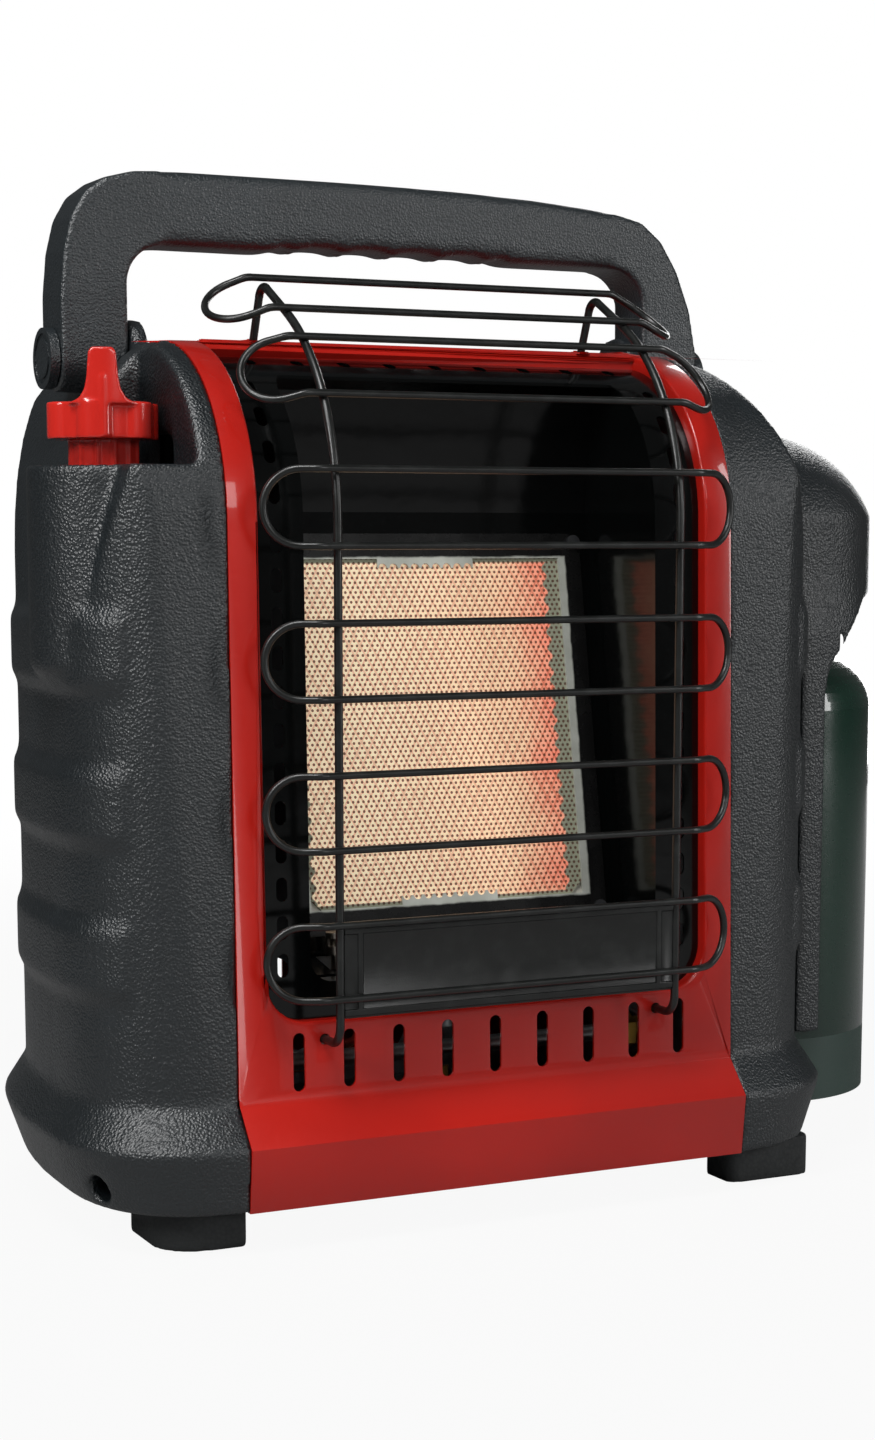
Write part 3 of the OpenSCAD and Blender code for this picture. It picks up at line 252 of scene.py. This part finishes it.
# %% [markdown]
# The housings and the handle are moulded plastic with a leather grain: small rounded
# pebbles with creases between them. Voronoi cells give the pebbles, noise breaks up their
# rows. The creases are a little rougher than the tops, which makes the grain sparkle under a
# lamp. A photographed grain would repeat; this one never does. The rubbers and the small
# plastics are the same recipe with a finer and shallower grain.

# %% Grained moulding
def grained(name, colour, worn, pebble, depth, roughness):
    finish = Finish(name, Specular_IOR_Level=0.8)
    where = finish.place()
    wander = finish.noise(where, pebble * 0.5)
    pebbles = finish.cells(where, pebble)
    height = (1 - pebbles) * 0.7 + wander * 0.6
    scuff = finish.noise(where, scale=26.0, detail=5.0, rough=0.65).ramp(low=0.52, high=0.78)
    base = finish.mix(paint(colour), paint(worn), scuff * 0.4 + pebbles * 0.3)
    finish.feed(finish.shader, "Base Color", base)
    finish.feed(finish.shader, "Roughness", roughness + 0.2 * pebbles - 0.05 * scuff)
    finish.relief(height, depth, strength=0.8)
    return finish.material


housing_plastic = grained(
    "grained_black_plastic", "#0F1518", "#1C2327", pebble=1000.0, depth=0.0005, roughness=0.3)
handle_plastic = grained(
    "grained_handle_plastic", "#171D20", "#262D31", pebble=1100.0, depth=0.0004, roughness=0.3)
foot_rubber = grained(
    "foot_rubber", "#1A1D1E", "#2A2E2F", pebble=700.0, depth=0.0001, roughness=0.7)
seal_rubber = grained(
    "seal_rubber", "#151515", "#262626", pebble=1800.0, depth=0.00003, roughness=0.6)
ring_plastic = grained(
    "ring_plastic", "#16322A", "#1E4136", pebble=1600.0, depth=0.00005, roughness=0.4)
switch_plastic = grained(
    "switch_plastic", "#17191A", "#2A2C2D", pebble=1500.0, depth=0.00004, roughness=0.35)
print("grained finishes:", housing_plastic.name, handle_plastic.name)

# %% [markdown]
# The knob is polished plastic, smooth but for faint flow marks and fine handling
# scratches. Scratches are noise stretched far along one axis.

# %% Polished knob plastic
def polished(name, colour, deeper, roughness):
    finish = Finish(name, Coat_Weight=0.35, Coat_Roughness=0.1)
    where = finish.place()
    long_way = finish.place(scale=(1.0, 0.05, 1.0))
    scratches = finish.noise(long_way, scale=2400.0).ramp(low=0.62, high=0.74)
    flow = finish.noise(where, scale=60.0)
    base = finish.mix(paint(colour), paint(deeper), flow)
    finish.feed(finish.shader, "Base Color", base)
    finish.feed(finish.shader, "Roughness", roughness + 0.15 * scratches)
    finish.relief(flow - 0.05 * scratches, depth=0.0003, strength=0.2)
    return finish.material


knob_plastic = polished("red_knob_plastic", "#D42A20", "#BE2018", roughness=0.22)
print("knob finish:", knob_plastic.name)

# %% [markdown]
# The surround and the reflector are fired black enamel: a glassy layer over steel that
# ripples slightly and mirrors the room in its rounded edges.

# %% Black enamel
def enamel(name, colour, dusty, roughness):
    finish = Finish(name, Specular_IOR_Level=0.4)
    where = finish.place()
    ripple = finish.noise(where, scale=70.0)
    dust = finish.noise(where, scale=1500.0, detail=3.0).ramp(low=0.6, high=0.8)
    base = finish.mix(paint(colour), paint(dusty), dust * 0.15)
    finish.feed(finish.shader, "Base Color", base)
    finish.feed(finish.shader, "Roughness", roughness + 0.1 * dust + 0.06 * ripple)
    finish.relief(ripple, depth=0.0005, strength=0.3)
    return finish.material


black_enamel = enamel("black_fired_enamel", "#040505", "#2A2A2A", roughness=0.1)
print("enamel:", black_enamel.name)

# %% [markdown]
# The guard is drawn wire under a satin black stove coating, a little patchy where the
# coating ran along the wire.

# %% Satin wire coating
def satin_coating(name, colour, patch, roughness):
    finish = Finish(name, Coat_Weight=0.15, Coat_Roughness=0.25)
    where = finish.place()
    patches = finish.noise(where, scale=140.0, detail=4.0)
    fine = finish.noise(where, scale=2200.0)
    base = finish.mix(paint(colour), paint(patch), patches.ramp(low=0.45, high=0.7))
    finish.feed(finish.shader, "Base Color", base)
    finish.feed(finish.shader, "Roughness", roughness + 0.2 * (patches - 0.5))
    finish.relief(fine + patches, depth=0.00006, strength=0.6)
    return finish.material


wire_coating = satin_coating("black_wire_coating", "#0E100F", "#181A19", roughness=0.34)
print("wire coating:", wire_coating.name)

# %% [markdown]
# The small fittings are bare metals. Each has its own colour, a brushed or cast surface,
# and a tarnish that dulls it in patches. Brushing is noise that is squeezed along Z; a
# stretch of 1 leaves it even, as on plating and castings.

# %% Bare metals
def metal(name, colour, tarnish, roughness, grain, stretch=0.1, depth=0.00003):
    finish = Finish(name, Metallic=1.0)
    along = finish.place(scale=(1.0, 1.0, stretch))
    where = finish.place()
    brushed = finish.noise(along, grain, detail=3.0, rough=0.6)
    stain = finish.noise(where, scale=45.0, detail=4.0, rough=0.6).ramp(low=0.45, high=0.8)
    base = finish.mix(paint(colour), paint(tarnish), stain * 0.6 + brushed * 0.2)
    finish.feed(finish.shader, "Base Color", base)
    finish.feed(finish.shader, "Roughness", roughness + 0.2 * stain + 0.1 * brushed)
    finish.relief(brushed, depth, strength=0.5)
    return finish.material


zinc_steel = metal(
    "zinc_plated_steel", "#B9BCBE", "#8C9092", roughness=0.32, grain=300.0, stretch=1.0)
cast_metal = metal(
    "cast_zinc", "#A6A7A8", "#7E8082", roughness=0.45, grain=600.0, stretch=1.0, depth=0.0001)
aluminium = metal("drawn_aluminium", "#CFD0D1", "#A5A7A9", roughness=0.28, grain=1200.0)
brass = metal("turned_brass", "#C9A24E", "#94713A", roughness=0.26, grain=1500.0)
blued_steel = metal("heat_blued_steel", "#B8B2A8", "#7C6A5C", roughness=0.24, grain=900.0)
copper = metal("copper_lead", "#B87452", "#7F4A35", roughness=0.3, grain=1200.0)
screw_steel = metal(
    "blackened_screw_steel", "#5A5B5D", "#3C3D3F", roughness=0.35, grain=900.0, stretch=1.0)
print("metals:", zinc_steel.name, "to", screw_steel.name)

# %% [markdown]
# Three finishes are fired or woven minerals: the white body of the igniter's electrode, the
# fibre gasket round the tile, and the red glass sleeve of the igniter's lead. All are matt
# and slightly mottled.

# %% Ceramics and fibre
def mineral(name, colour, mottle, scale, roughness, depth):
    finish = Finish(name)
    where = finish.place()
    lumps = finish.noise(where, scale, detail=4.0, rough=0.6)
    finish.feed(finish.shader, "Base Color", finish.mix(paint(colour), paint(mottle), lumps))
    finish.feed(finish.shader, "Roughness", roughness + 0.1 * lumps)
    finish.relief(lumps, depth, strength=0.8)
    return finish.material


electrode_ceramic = mineral(
    "electrode_ceramic", "#EDEAE0", "#D9D4C6", scale=400.0, roughness=0.35, depth=0.00003)
gasket_fibre = mineral(
    "gasket_fibre", "#D9D6CC", "#BDB9AC", scale=1500.0, roughness=0.85, depth=0.0002)
lead_sleeve = mineral(
    "lead_sleeve", "#B23A2C", "#962E22", scale=900.0, roughness=0.5, depth=0.00004)
print("minerals:", electrode_ceramic.name, gasket_fibre.name, lead_sleeve.name)

# %% [markdown]
# The burner's face is the heart of the heater: a pale ceramic tile with a honeycomb of
# pinholes, pressed diamonds, and a glow that turns from peach to salmon red toward one
# side. All of it is drawn in the tile's own plane, so the coordinates are first counted
# from its lower middle and turned by its lean; they are then plain millimetres.

# %% The tile's plane
TILE_WIDTH = 120.0
TILE_HEIGHT = 135.0
TILE_LEAN = math.radians(9.8)
tile_foot = spot(0, 38, 111)


def tile_place(finish):
    """Millimetres from the tile's lower middle: across it, into it and up it."""
    return finish.place(tile_foot, (-TILE_LEAN, 0, 0), (MM, MM, MM))


tile = Finish("glowing_burner_ceramic", Roughness=0.8, Emission_Strength=0.45)
on_tile = tile_place(tile)
across, _, up = tile.split(on_tile)
print("tile foot:", [round(v, 4) for v in tile_foot])

# %% [markdown]
# The pinholes stand in rows that are shifted by half a pitch, like honeycomb. Two square
# grids of dots, one shifted against the other, make them: the distance from the nearest dot
# of either grid is small inside a hole.

# %% Pinholes
HOLE_PITCH = 2.1
HOLE_ROW = HOLE_PITCH * math.sqrt(3)
HOLE_INNER = 0.44
HOLE_OUTER = 0.66

even_rows = across.wrapped(HOLE_PITCH).length_with(up.wrapped(HOLE_ROW))
shifted_across = (across + HOLE_PITCH / 2).wrapped(HOLE_PITCH)
shifted_up = (up + HOLE_ROW / 2).wrapped(HOLE_ROW)
odd_rows = shifted_across.length_with(shifted_up)
hole = 1 - even_rows.smaller(odd_rows).ramp(low=HOLE_INNER, high=HOLE_OUTER)
print("holes across the tile:", int(TILE_WIDTH / HOLE_PITCH))

# %% [markdown]
# The pressed pattern is two sets of slanting lines that cross as diamonds. A line is where
# the sum, or the difference, of the two counts of diamonds is a whole number.

# %% Pressed diamonds
DIAMOND_WIDTH = 4.5
DIAMOND_HEIGHT = 8.0

wide_count = across * (1 / DIAMOND_WIDTH)
high_count = up * (1 / DIAMOND_HEIGHT)
lean_right = (wide_count + high_count).wrapped(1.0)
lean_left = (wide_count - high_count).wrapped(1.0)
diamond = 1 - lean_right.smaller(lean_left).ramp(low=0.03, high=0.15)
print("diamonds up the tile:", int(TILE_HEIGHT / DIAMOND_HEIGHT))

# %% [markdown]
# The tile glows peach on the left and salmon red toward its right side, with soft clouds.
# Its border stays cold and grey green, scalloped where the hot part ends, and it is wider
# on the right, away from the pilot.

# %% Glow and border
RIM_WIDTH = 5.0
RIM_BLUR = 0.4
RIM_EXTRA_RIGHT = 4.0
RIM_LESS_ENDS = 1.0
SCALLOP = 6.2

cloud = tile.noise(on_tile, scale=0.05, detail=3.0)
warmth = across.ramp(low=-45.0, high=55.0)
heat = (across + 30.0 * (cloud - 0.5)).ramp(low=28.0, high=58.0)
from_right = TILE_WIDTH / 2 - RIM_EXTRA_RIGHT - across
from_left = TILE_WIDTH / 2 + across
from_side = from_right.smaller(from_left) + up.wave(SCALLOP)
from_end = up.smaller(TILE_HEIGHT - up) + RIM_LESS_ENDS
rim = 1 - from_side.smaller(from_end).ramp(low=RIM_WIDTH - RIM_BLUR, high=RIM_WIDTH + RIM_BLUR)

peach = tile.mix(paint("#F8E0BE"), paint("#F2C29B"), warmth * 0.8 + 0.2 * cloud)
glowing = tile.mix(peach, paint("#E9806A"), heat)
lined = tile.mix(glowing, paint("#B5573C"), diamond * (0.42 + 0.4 * heat))
edged = tile.mix(lined, paint("#8F917C"), rim)
# The pinholes are painted dark brown red: painted shade inside the holes, which the flat tile
# does not have.
surface = tile.mix(edged, paint("#4E2A1A"), hole * 0.9)
tile.feed(tile.shader, "Base Color", surface)
tile.feed(tile.shader, "Emission Color", tile.mix(surface, paint("#000000"), rim * 0.8))
tile.relief(1 - hole, depth=0.0005, strength=0.6)
burner_ceramic = tile.material
print("tile finish:", len(tile.tree.nodes), "nodes")

# %% [markdown]
# The thin plate that holds the tile is bright steel where it laps over the tile, because
# the heat keeps it clean there, and black with baked soot further out. The same
# millimetres of the tile's plane say where the one turns into the other.

# %% The tile's holding plate
SOOT_INSET = 2.0  # how far the soot reaches over the tile's top and bottom edge


def scorched_plate():
    finish = Finish("scorched_holding_plate")
    from_middle, _, height = finish.split(tile_place(finish))
    where = finish.place()
    smear = finish.noise(where, scale=160.0, detail=3.0)
    beside = from_middle.unsigned() - TILE_WIDTH / 2
    above = height - (TILE_HEIGHT - SOOT_INSET)
    outside = beside.larger(above).larger(SOOT_INSET - height)
    soot = (outside + 1.2 * (smear - 0.5)).ramp(low=-0.4, high=0.6)
    bright = finish.mix(paint("#DADCD4"), paint("#B3B6AA"), smear)
    finish.feed(finish.shader, "Base Color", finish.mix(bright, paint("#070707"), soot))
    finish.feed(finish.shader, "Metallic", 0.55 - 0.55 * soot)
    finish.feed(finish.shader, "Roughness", 0.42 - 0.2 * soot + 0.1 * smear)
    dents = finish.noise(where, scale=500.0, detail=3.0)
    finish.relief(dents, depth=0.00003, strength=0.5)
    return finish.material


retainer_steel = scorched_plate()
print("holding plate:", retainer_steel.name)

# %% [markdown]
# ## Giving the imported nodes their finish
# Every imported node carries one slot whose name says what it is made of. Each slot gets
# one of the finishes above, and the mesh is left alone.

# %% Slot by slot
FINISHES = {
    "red_sheet": red_paint, "black_moulding": housing_plastic,
    "handle_moulding": handle_plastic, "foot_rubber": foot_rubber,
    "zinc_steel": zinc_steel, "black_enamel": black_enamel,
    "burner_ceramic": burner_ceramic, "retainer_steel": retainer_steel,
    "gasket_fibre": gasket_fibre, "cast_metal": cast_metal, "tube_aluminium": aluminium,
    "brass_part": brass, "electrode_ceramic": electrode_ceramic, "chrome_part": blued_steel,
    "lead_sleeve": lead_sleeve, "copper_lead": copper, "switch_plastic": switch_plastic,
    "knob_red": knob_plastic, "black_wire": wire_coating, "screw_steel": screw_steel,
    "cylinder_paint": green_paint, "ring_plastic": ring_plastic,
    "seal_rubber": seal_rubber,
}
slot_of = {name: node.data.materials[0].name for name, node in nodes.items()}
for name, node in nodes.items():
    node.data.materials[0] = FINISHES[slot_of[name]]
print("finishes given:", len(slot_of))

# %% [markdown]
# ## Moulded pieces
# A moulding has no sharp edge anywhere, and its raised bands melt into the wall. Bevels
# could round the clear edges, but not the places where a band fades out. So a copy of the
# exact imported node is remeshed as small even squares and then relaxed, which rounds every
# edge by about the same radius. A few helpers do that for each piece.

# %% Helpers for copies
BODY_OF = {"handle": "handle", "control_knob": "knob"}


def only(piece):
    """Makes one object the only selected one, and the active one."""
    bpy.ops.object.select_all(action="DESELECT")
    piece.select_set(True)
    bpy.context.view_layer.objects.active = piece


def merged_copy(node, name):
    """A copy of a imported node's mesh with its loose triangles joined up."""
    piece = bpy.data.objects.new(name, nodes[node].data.copy())
    bpy.context.scene.collection.objects.link(piece)
    only(piece)
    bpy.ops.mesh.customdata_custom_splitnormals_clear()
    bpy.ops.object.mode_set(mode="EDIT")
    bpy.ops.mesh.select_all(action="SELECT")
    bpy.ops.mesh.remove_doubles(threshold=0.000005)
    bpy.ops.object.mode_set(mode="OBJECT")
    return piece


def apply_modifier(piece, kind, **settings):
    """Adds a modifier with its settings and applies it at once."""
    only(piece)
    modifier = piece.modifiers.new(kind.lower(), kind)
    for setting, value in settings.items():
        setattr(modifier, setting, value)
    bpy.ops.object.modifier_apply(modifier=modifier.name)


def hand_in(piece, node):
    """The piece stands for its node: same body, same slot, same finish."""
    piece.data.materials.clear()
    piece.data.materials.append(FINISHES[slot_of[node]])
    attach(piece, BODY_OF.get(node, "heater"))
    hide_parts(node)
    print(piece.name, "faces:", len(piece.data.polygons))


# %% Softening
def nowhere(point):
    """No point is held."""
    return False


def relaxed(piece, rounds, held):
    """Relaxes the points of a piece, but leaves those still for which held is true."""
    group = piece.vertex_groups.new(name="free")
    free = [point.index for point in piece.data.vertices if not held(point.co)]
    group.add(free, 1.0, "REPLACE")
    apply_modifier(piece, "SMOOTH", factor=0.5, iterations=rounds, vertex_group="free")
    piece.vertex_groups.clear()


def soften(piece, grid, rounds, held=nowhere):
    """Remeshes a piece as small even squares and relaxes it, which rounds its edges."""
    apply_modifier(piece, "REMESH", mode="VOXEL", voxel_size=grid)
    relaxed(piece, rounds, held)
    only(piece)
    bpy.ops.object.shade_smooth()


# %% [markdown]
# The two side housings close the casing. Their inner rim is held still while the rest is
# relaxed, so that no gap opens between plastic and sheet.

# %% The side housings
HELD_PAST_CASING = 1.5 * MM


def near_casing(point):
    """True for points inside the casing's width, or just past it."""
    return abs(point.x - casing_mid_x) < casing_high.x - casing_mid_x + HELD_PAST_CASING


left_moulding = merged_copy("left_housing", "left_moulding")
soften(left_moulding, grid=1.45 * MM, rounds=9, held=near_casing)
hand_in(left_moulding, "left_housing")

right_moulding = merged_copy("right_housing", "right_moulding")
soften(right_moulding, grid=1.45 * MM, rounds=9, held=near_casing)
hand_in(right_moulding, "right_housing")

# %% [markdown]
# The hood over the regulator is a dome that runs down into a fin. It is smaller than the
# housings and is seen as an outline, so its squares are finer.

# %% The hood
hood_moulding = merged_copy("regulator_hood", "hood_moulding")
soften(hood_moulding, grid=1.2 * MM, rounds=8)
hand_in(hood_moulding, "regulator_hood")

# %% [markdown]
# The carrying handle has crisp arms and a round grip. One relaxing for the whole piece
# would leave the grip too square or the arms too soft, so the copy is relaxed a little
# everywhere and then much more along the grip alone.

# %% The handle
GRIP_BOTTOM = 357.0
GRIP_HALF_WIDTH = 95.0
GRIP_MARGIN = 8.0


def off_grip(point):
    """True for points on the handle's arms and corners."""
    beside = abs(point.x - casing_mid_x) > GRIP_HALF_WIDTH * MM
    return beside or point.z < spot(0, 0, GRIP_BOTTOM - GRIP_MARGIN).z


carry_handle = merged_copy("handle", "carry_handle")
soften(carry_handle, grid=0.9 * MM, rounds=10)
relaxed(carry_handle, rounds=110, held=off_grip)
print("handle relaxed, points:", len(carry_handle.data.vertices))

# %% [markdown]
# Nine finger ribs cross the underside of the grip. Each is a bead bent round its lower
# half: a ring whose upper half is squeezed until it is lost inside the grip. The ring is
# made once and copied along the grip, each copy with its own mesh, and a second remesh
# melts all of it together, which gives the soft fillet where a bead meets the grip.

# %% One finger rib
RIB_COUNT = 9
RIB_PITCH = 20.2
GRIP_MIDDLE_Y = 95.0

middle_rib = (RIB_COUNT - 1) / 2
first_rib = spot(-middle_rib * RIB_PITCH, GRIP_MIDDLE_Y, GRIP_BOTTOM + 10)
bpy.ops.object.select_all(action="DESELECT")
bpy.ops.mesh.primitive_torus_add(
    major_radius=9.6 * MM, minor_radius=2.2 * MM, major_segments=48, minor_segments=16,
    location=first_rib, rotation=(0, math.pi / 2, 0))
rib = bpy.context.object
bpy.ops.object.transform_apply(location=True, rotation=True)
bpy.ops.object.mode_set(mode="EDIT")
bpy.ops.mesh.select_mode(type="VERT")
bpy.ops.mesh.select_all(action="DESELECT")
bpy.ops.object.mode_set(mode="OBJECT")
for point in rib.data.vertices:
    point.select = point.co.z > first_rib.z
bpy.ops.object.mode_set(mode="EDIT")
bpy.ops.transform.resize(value=(1.0, 0.7, 0.5), center_override=first_rib)
bpy.ops.object.mode_set(mode="OBJECT")
print("rib points squeezed:", sum(point.select for point in rib.data.vertices))

# %% All ribs, melted into the grip
ribs = [rib]
for i in range(1, RIB_COUNT):
    twin = bpy.data.objects.new("rib", rib.data.copy())
    bpy.context.scene.collection.objects.link(twin)
    twin.location.x = i * RIB_PITCH * MM
    ribs.append(twin)
only(carry_handle)
for ring in ribs:
    ring.select_set(True)
bpy.ops.object.join()
soften(carry_handle, grid=0.8 * MM, rounds=4)
hand_in(carry_handle, "handle")

# %% [markdown]
# The knob is the smallest moulding and stands in front, so it gets the finest squares. The
# feet are rubber blocks with a radius on every edge that wears rounder in use.

# %% The knob and the feet
turn_knob = merged_copy("control_knob", "turn_knob")
soften(turn_knob, grid=0.45 * MM, rounds=8)
hand_in(turn_knob, "control_knob")

foot_blocks = merged_copy("feet", "foot_blocks")
soften(foot_blocks, grid=0.9 * MM, rounds=5)
hand_in(foot_blocks, "feet")

# %% [markdown]
# ## Pressed sheet
# A pressed sheet has a small rolled radius on every edge, and that radius is what catches
# the light. Remeshing would wash out its flat faces, so the copies get a fine bevel where
# two faces meet at a clear angle. The front panel first gets two wider bevels: one round
# the rim of the opening and one along the crease over the skirt.

# %% Bevel helpers
def rolled_edges(piece, width):
    """A fine rounded bevel on every clear edge, then smooth shading between them."""
    apply_modifier(piece, "BEVEL", width=width, segments=3, limit_method="ANGLE",
                   angle_limit=math.radians(40), use_clamp_overlap=True)
    only(piece)
    bpy.ops.object.shade_smooth_by_angle(angle=math.radians(35))


def bevel_where(piece, width, chosen):
    """Bevels the sharp edges whose two ends are both chosen."""
    only(piece)
    bpy.ops.object.mode_set(mode="EDIT")
    bpy.ops.mesh.select_mode(type="EDGE")
    bpy.ops.mesh.select_all(action="DESELECT")
    bpy.ops.mesh.edges_select_sharp(sharpness=math.radians(10))
    bpy.ops.object.mode_set(mode="OBJECT")
    points = piece.data.vertices
    for edge in piece.data.edges:
        if edge.select:
            edge.select = all(chosen(points[i].co) for i in edge.vertices)
    picked = sum(edge.select for edge in piece.data.edges)
    bpy.ops.object.mode_set(mode="EDIT")
    bpy.ops.mesh.bevel(offset=width, segments=4, clamp_overlap=False)
    bpy.ops.object.mode_set(mode="OBJECT")
    print(piece.name, "beveled edges:", picked)


# %% Where the front panel's edges lie
CREASE_HEIGHT = 53.0
FRONT_LEAN = 5 / 202  # the front leans back 5 mm over the 202 mm above the crease
BEND_RADIUS = 65.0
RIM_HALF_WIDTH = 91.3
RIM_FOOT = 78.7

bend_centre = spot(0, 70, 255)


def below_skin(point):
    """How deep a point lies under the outer skin of the front sheet."""
    if point.y > bend_centre.y:
        return casing_high.z - point.z
    if point.z > bend_centre.z:
        from_centre = math.hypot(point.y - bend_centre.y, point.z - bend_centre.z)
        return BEND_RADIUS * MM - from_centre
    return point.y - front_face_y - FRONT_LEAN * (point.z - CREASE_HEIGHT * MM)


def on_rim(point):
    """True for points of the opening's rim on the outer skin."""
    beside = abs(point.x - casing_mid_x) < RIM_HALF_WIDTH * MM
    return beside and point.z > RIM_FOOT * MM and abs(below_skin(point)) < 0.3 * MM


def on_crease(point):
    """True for points of the crease between the front and the skirt."""
    level = abs(point.z - CREASE_HEIGHT * MM) < 1.5 * MM
    return level and point.y < front_face_y + 3 * MM


# %% The front panel
front_sheet = merged_copy("front_panel", "front_sheet")
bevel_where(front_sheet, 1.0 * MM, on_rim)
bevel_where(front_sheet, 2.0 * MM, on_crease)
rolled_edges(front_sheet, 0.4 * MM)
hand_in(front_sheet, "front_panel")

# %% [markdown]
# The plate between the guard's uprights is thin steel with a raised border. The border's
# edges are what shows of it in the dark recess, so they get the same fine bevel.

# %% The guard's plate
guard_plate_sheet = merged_copy("guard_plate", "bare_guard_plate")
rolled_edges(guard_plate_sheet, 0.35 * MM)
hand_in(guard_plate_sheet, "guard_plate")

# %% [markdown]
# ## Studio
# A plain pale floor runs out into a white room. The floor shows white to the camera but
# keeps a trace of the shadow: its shader is mostly plain white, and the rest is grey that
# the lamps light. In mirrors and on the heater only the grey part counts, so that the black
# plastics stay black.

# %% The floor
FLOOR_WHITE = 0.93  # share of plain white near the heater
FULL_WHITE_FROM = 0.35
FULL_WHITE_TO = 1.3

bpy.ops.mesh.primitive_plane_add(size=12.0, location=(0, 0, 0))
floor = bpy.context.object
floor.name = "studio_floor"
sweep = Finish("studio_white", Base_Color=paint("#9C9C9C"), Roughness=0.9)
sees = sweep.add("ShaderNodeLightPath", {}, {}, "Is Camera Ray")
floor_x, floor_y, _ = sweep.split(sweep.place())
far = floor_x.length_with(floor_y).ramp(low=FULL_WHITE_FROM, high=FULL_WHITE_TO)
whiteness = sees * (FLOOR_WHITE + (1 - FLOOR_WHITE) * far)
glow = sweep.add("ShaderNodeEmission", {}, {"Color": paint("#FFFFFF"), "Strength": 1.0})
lit = Signal(sweep, sweep.shader.outputs["BSDF"])
mixed = sweep.add("ShaderNodeMixShader", {}, {0: whiteness, 1: lit, 2: glow})
sweep.feed(sweep.tree.nodes["Material Output"], "Surface", mixed)
floor.data.materials.append(sweep.material)
print("floor:", floor.dimensions[0], "m wide")

# %% [markdown]
# The room is white where the camera looks into it or through glass, dim where it lights
# the heater, and a trace brighter in reflections. One share between 0 and 1 says how much
# of the white each kind of ray gets.

# %% The room round it
ROOM_DIM = 0.05
MIRRORED_WHITE = 0.02

world = bpy.data.worlds.new("studio_room")
bpy.context.scene.world = world
world.use_nodes = True
room = world.node_tree
room.nodes.clear()
path = room.nodes.new("ShaderNodeLightPath")
seen = room.nodes.new("ShaderNodeMath")
seen.operation = "MULTIPLY_ADD"
seen.inputs[1].default_value = MIRRORED_WHITE
clear = room.nodes.new("ShaderNodeMath")
clear.operation = "MAXIMUM"
dim = room.nodes.new("ShaderNodeBackground")
dim.inputs["Strength"].default_value = ROOM_DIM
white = room.nodes.new("ShaderNodeBackground")
white.inputs["Strength"].default_value = 1.0
for shade in (dim, white):
    shade.inputs["Color"].default_value = (1, 1, 1, 1)
blend = room.nodes.new("ShaderNodeMixShader")
output = room.nodes.new("ShaderNodeOutputWorld")
room.links.new(path.outputs["Is Glossy Ray"], seen.inputs[0])
room.links.new(path.outputs["Is Camera Ray"], seen.inputs[2])
room.links.new(seen.outputs[0], clear.inputs[0])
room.links.new(path.outputs["Is Transmission Ray"], clear.inputs[1])
room.links.new(clear.outputs[0], blend.inputs[0])
room.links.new(dim.outputs[0], blend.inputs[1])
room.links.new(white.outputs[0], blend.inputs[2])
room.links.new(blend.outputs[0], output.inputs["Surface"])
print("room nodes:", len(room.nodes))

# %% [markdown]
# Five soft boxes light the heater. The one above and the one on the left draw the bands
# of the left housing, the front one fills, and the tall narrow ones on the right and at
# the back put a long highlight on the right housing and the cylinder.

# %% Soft boxes
def soft_box(name, place, width, height, power):
    """A rectangular lamp that faces the heater's middle."""
    lamp = bpy.data.lights.new(name, "AREA")
    lamp.shape = "RECTANGLE"
    lamp.size = width
    lamp.size_y = height
    lamp.energy = power
    holder = bpy.data.objects.new(name, lamp)
    bpy.context.scene.collection.objects.link(holder)
    holder.location = place
    holder.rotation_euler = (HEART - Vector(place)).to_track_quat("-Z", "Y").to_euler()


HEART = Vector((0.0, 0.0, 0.2))
soft_box("top_box", (-0.6, -0.6, 1.5), width=0.6, height=0.4, power=15.0)
soft_box("left_box", (-1.3, -0.6, 1.0), width=0.3, height=0.6, power=12.0)
soft_box("front_box", (0.2, -2.2, 0.9), width=0.6, height=0.6, power=6.5)
soft_box("right_box", (1.5, -1.3, 0.7), width=0.25, height=1.3, power=10.0)
soft_box("back_box", (1.1, 1.0, 0.6), width=0.3, height=1.2, power=7.0)
print("lamps:", len(bpy.data.lights))

# %% [markdown]
# ## Camera
# The photograph was taken from the heater's left, a little above its middle. The lens is
# shifted rather than tilted further, so that the upright edges lean only slightly.

# %% The camera
LOOK_DOWN = math.radians(7.88)
LOOK_RIGHT = math.radians(26)

lens = bpy.data.cameras.new("photo_camera")
lens.sensor_fit = "VERTICAL"
lens.sensor_height = 36.0
lens.lens = 63.5
lens.shift_y = 0.1146
camera = bpy.data.objects.new("photo_camera", lens)
bpy.context.scene.collection.objects.link(camera)
camera.location = spot(-420.0, -812.1, 251.1)
camera.rotation_euler = (math.pi / 2 - LOOK_DOWN, 0, -LOOK_RIGHT)
bpy.context.scene.camera = camera
bpy.context.scene.view_settings.view_transform = "Standard"
print("camera:", [round(v, 3) for v in camera.location])

# %% The scene brought up to date
bpy.context.view_layer.update()
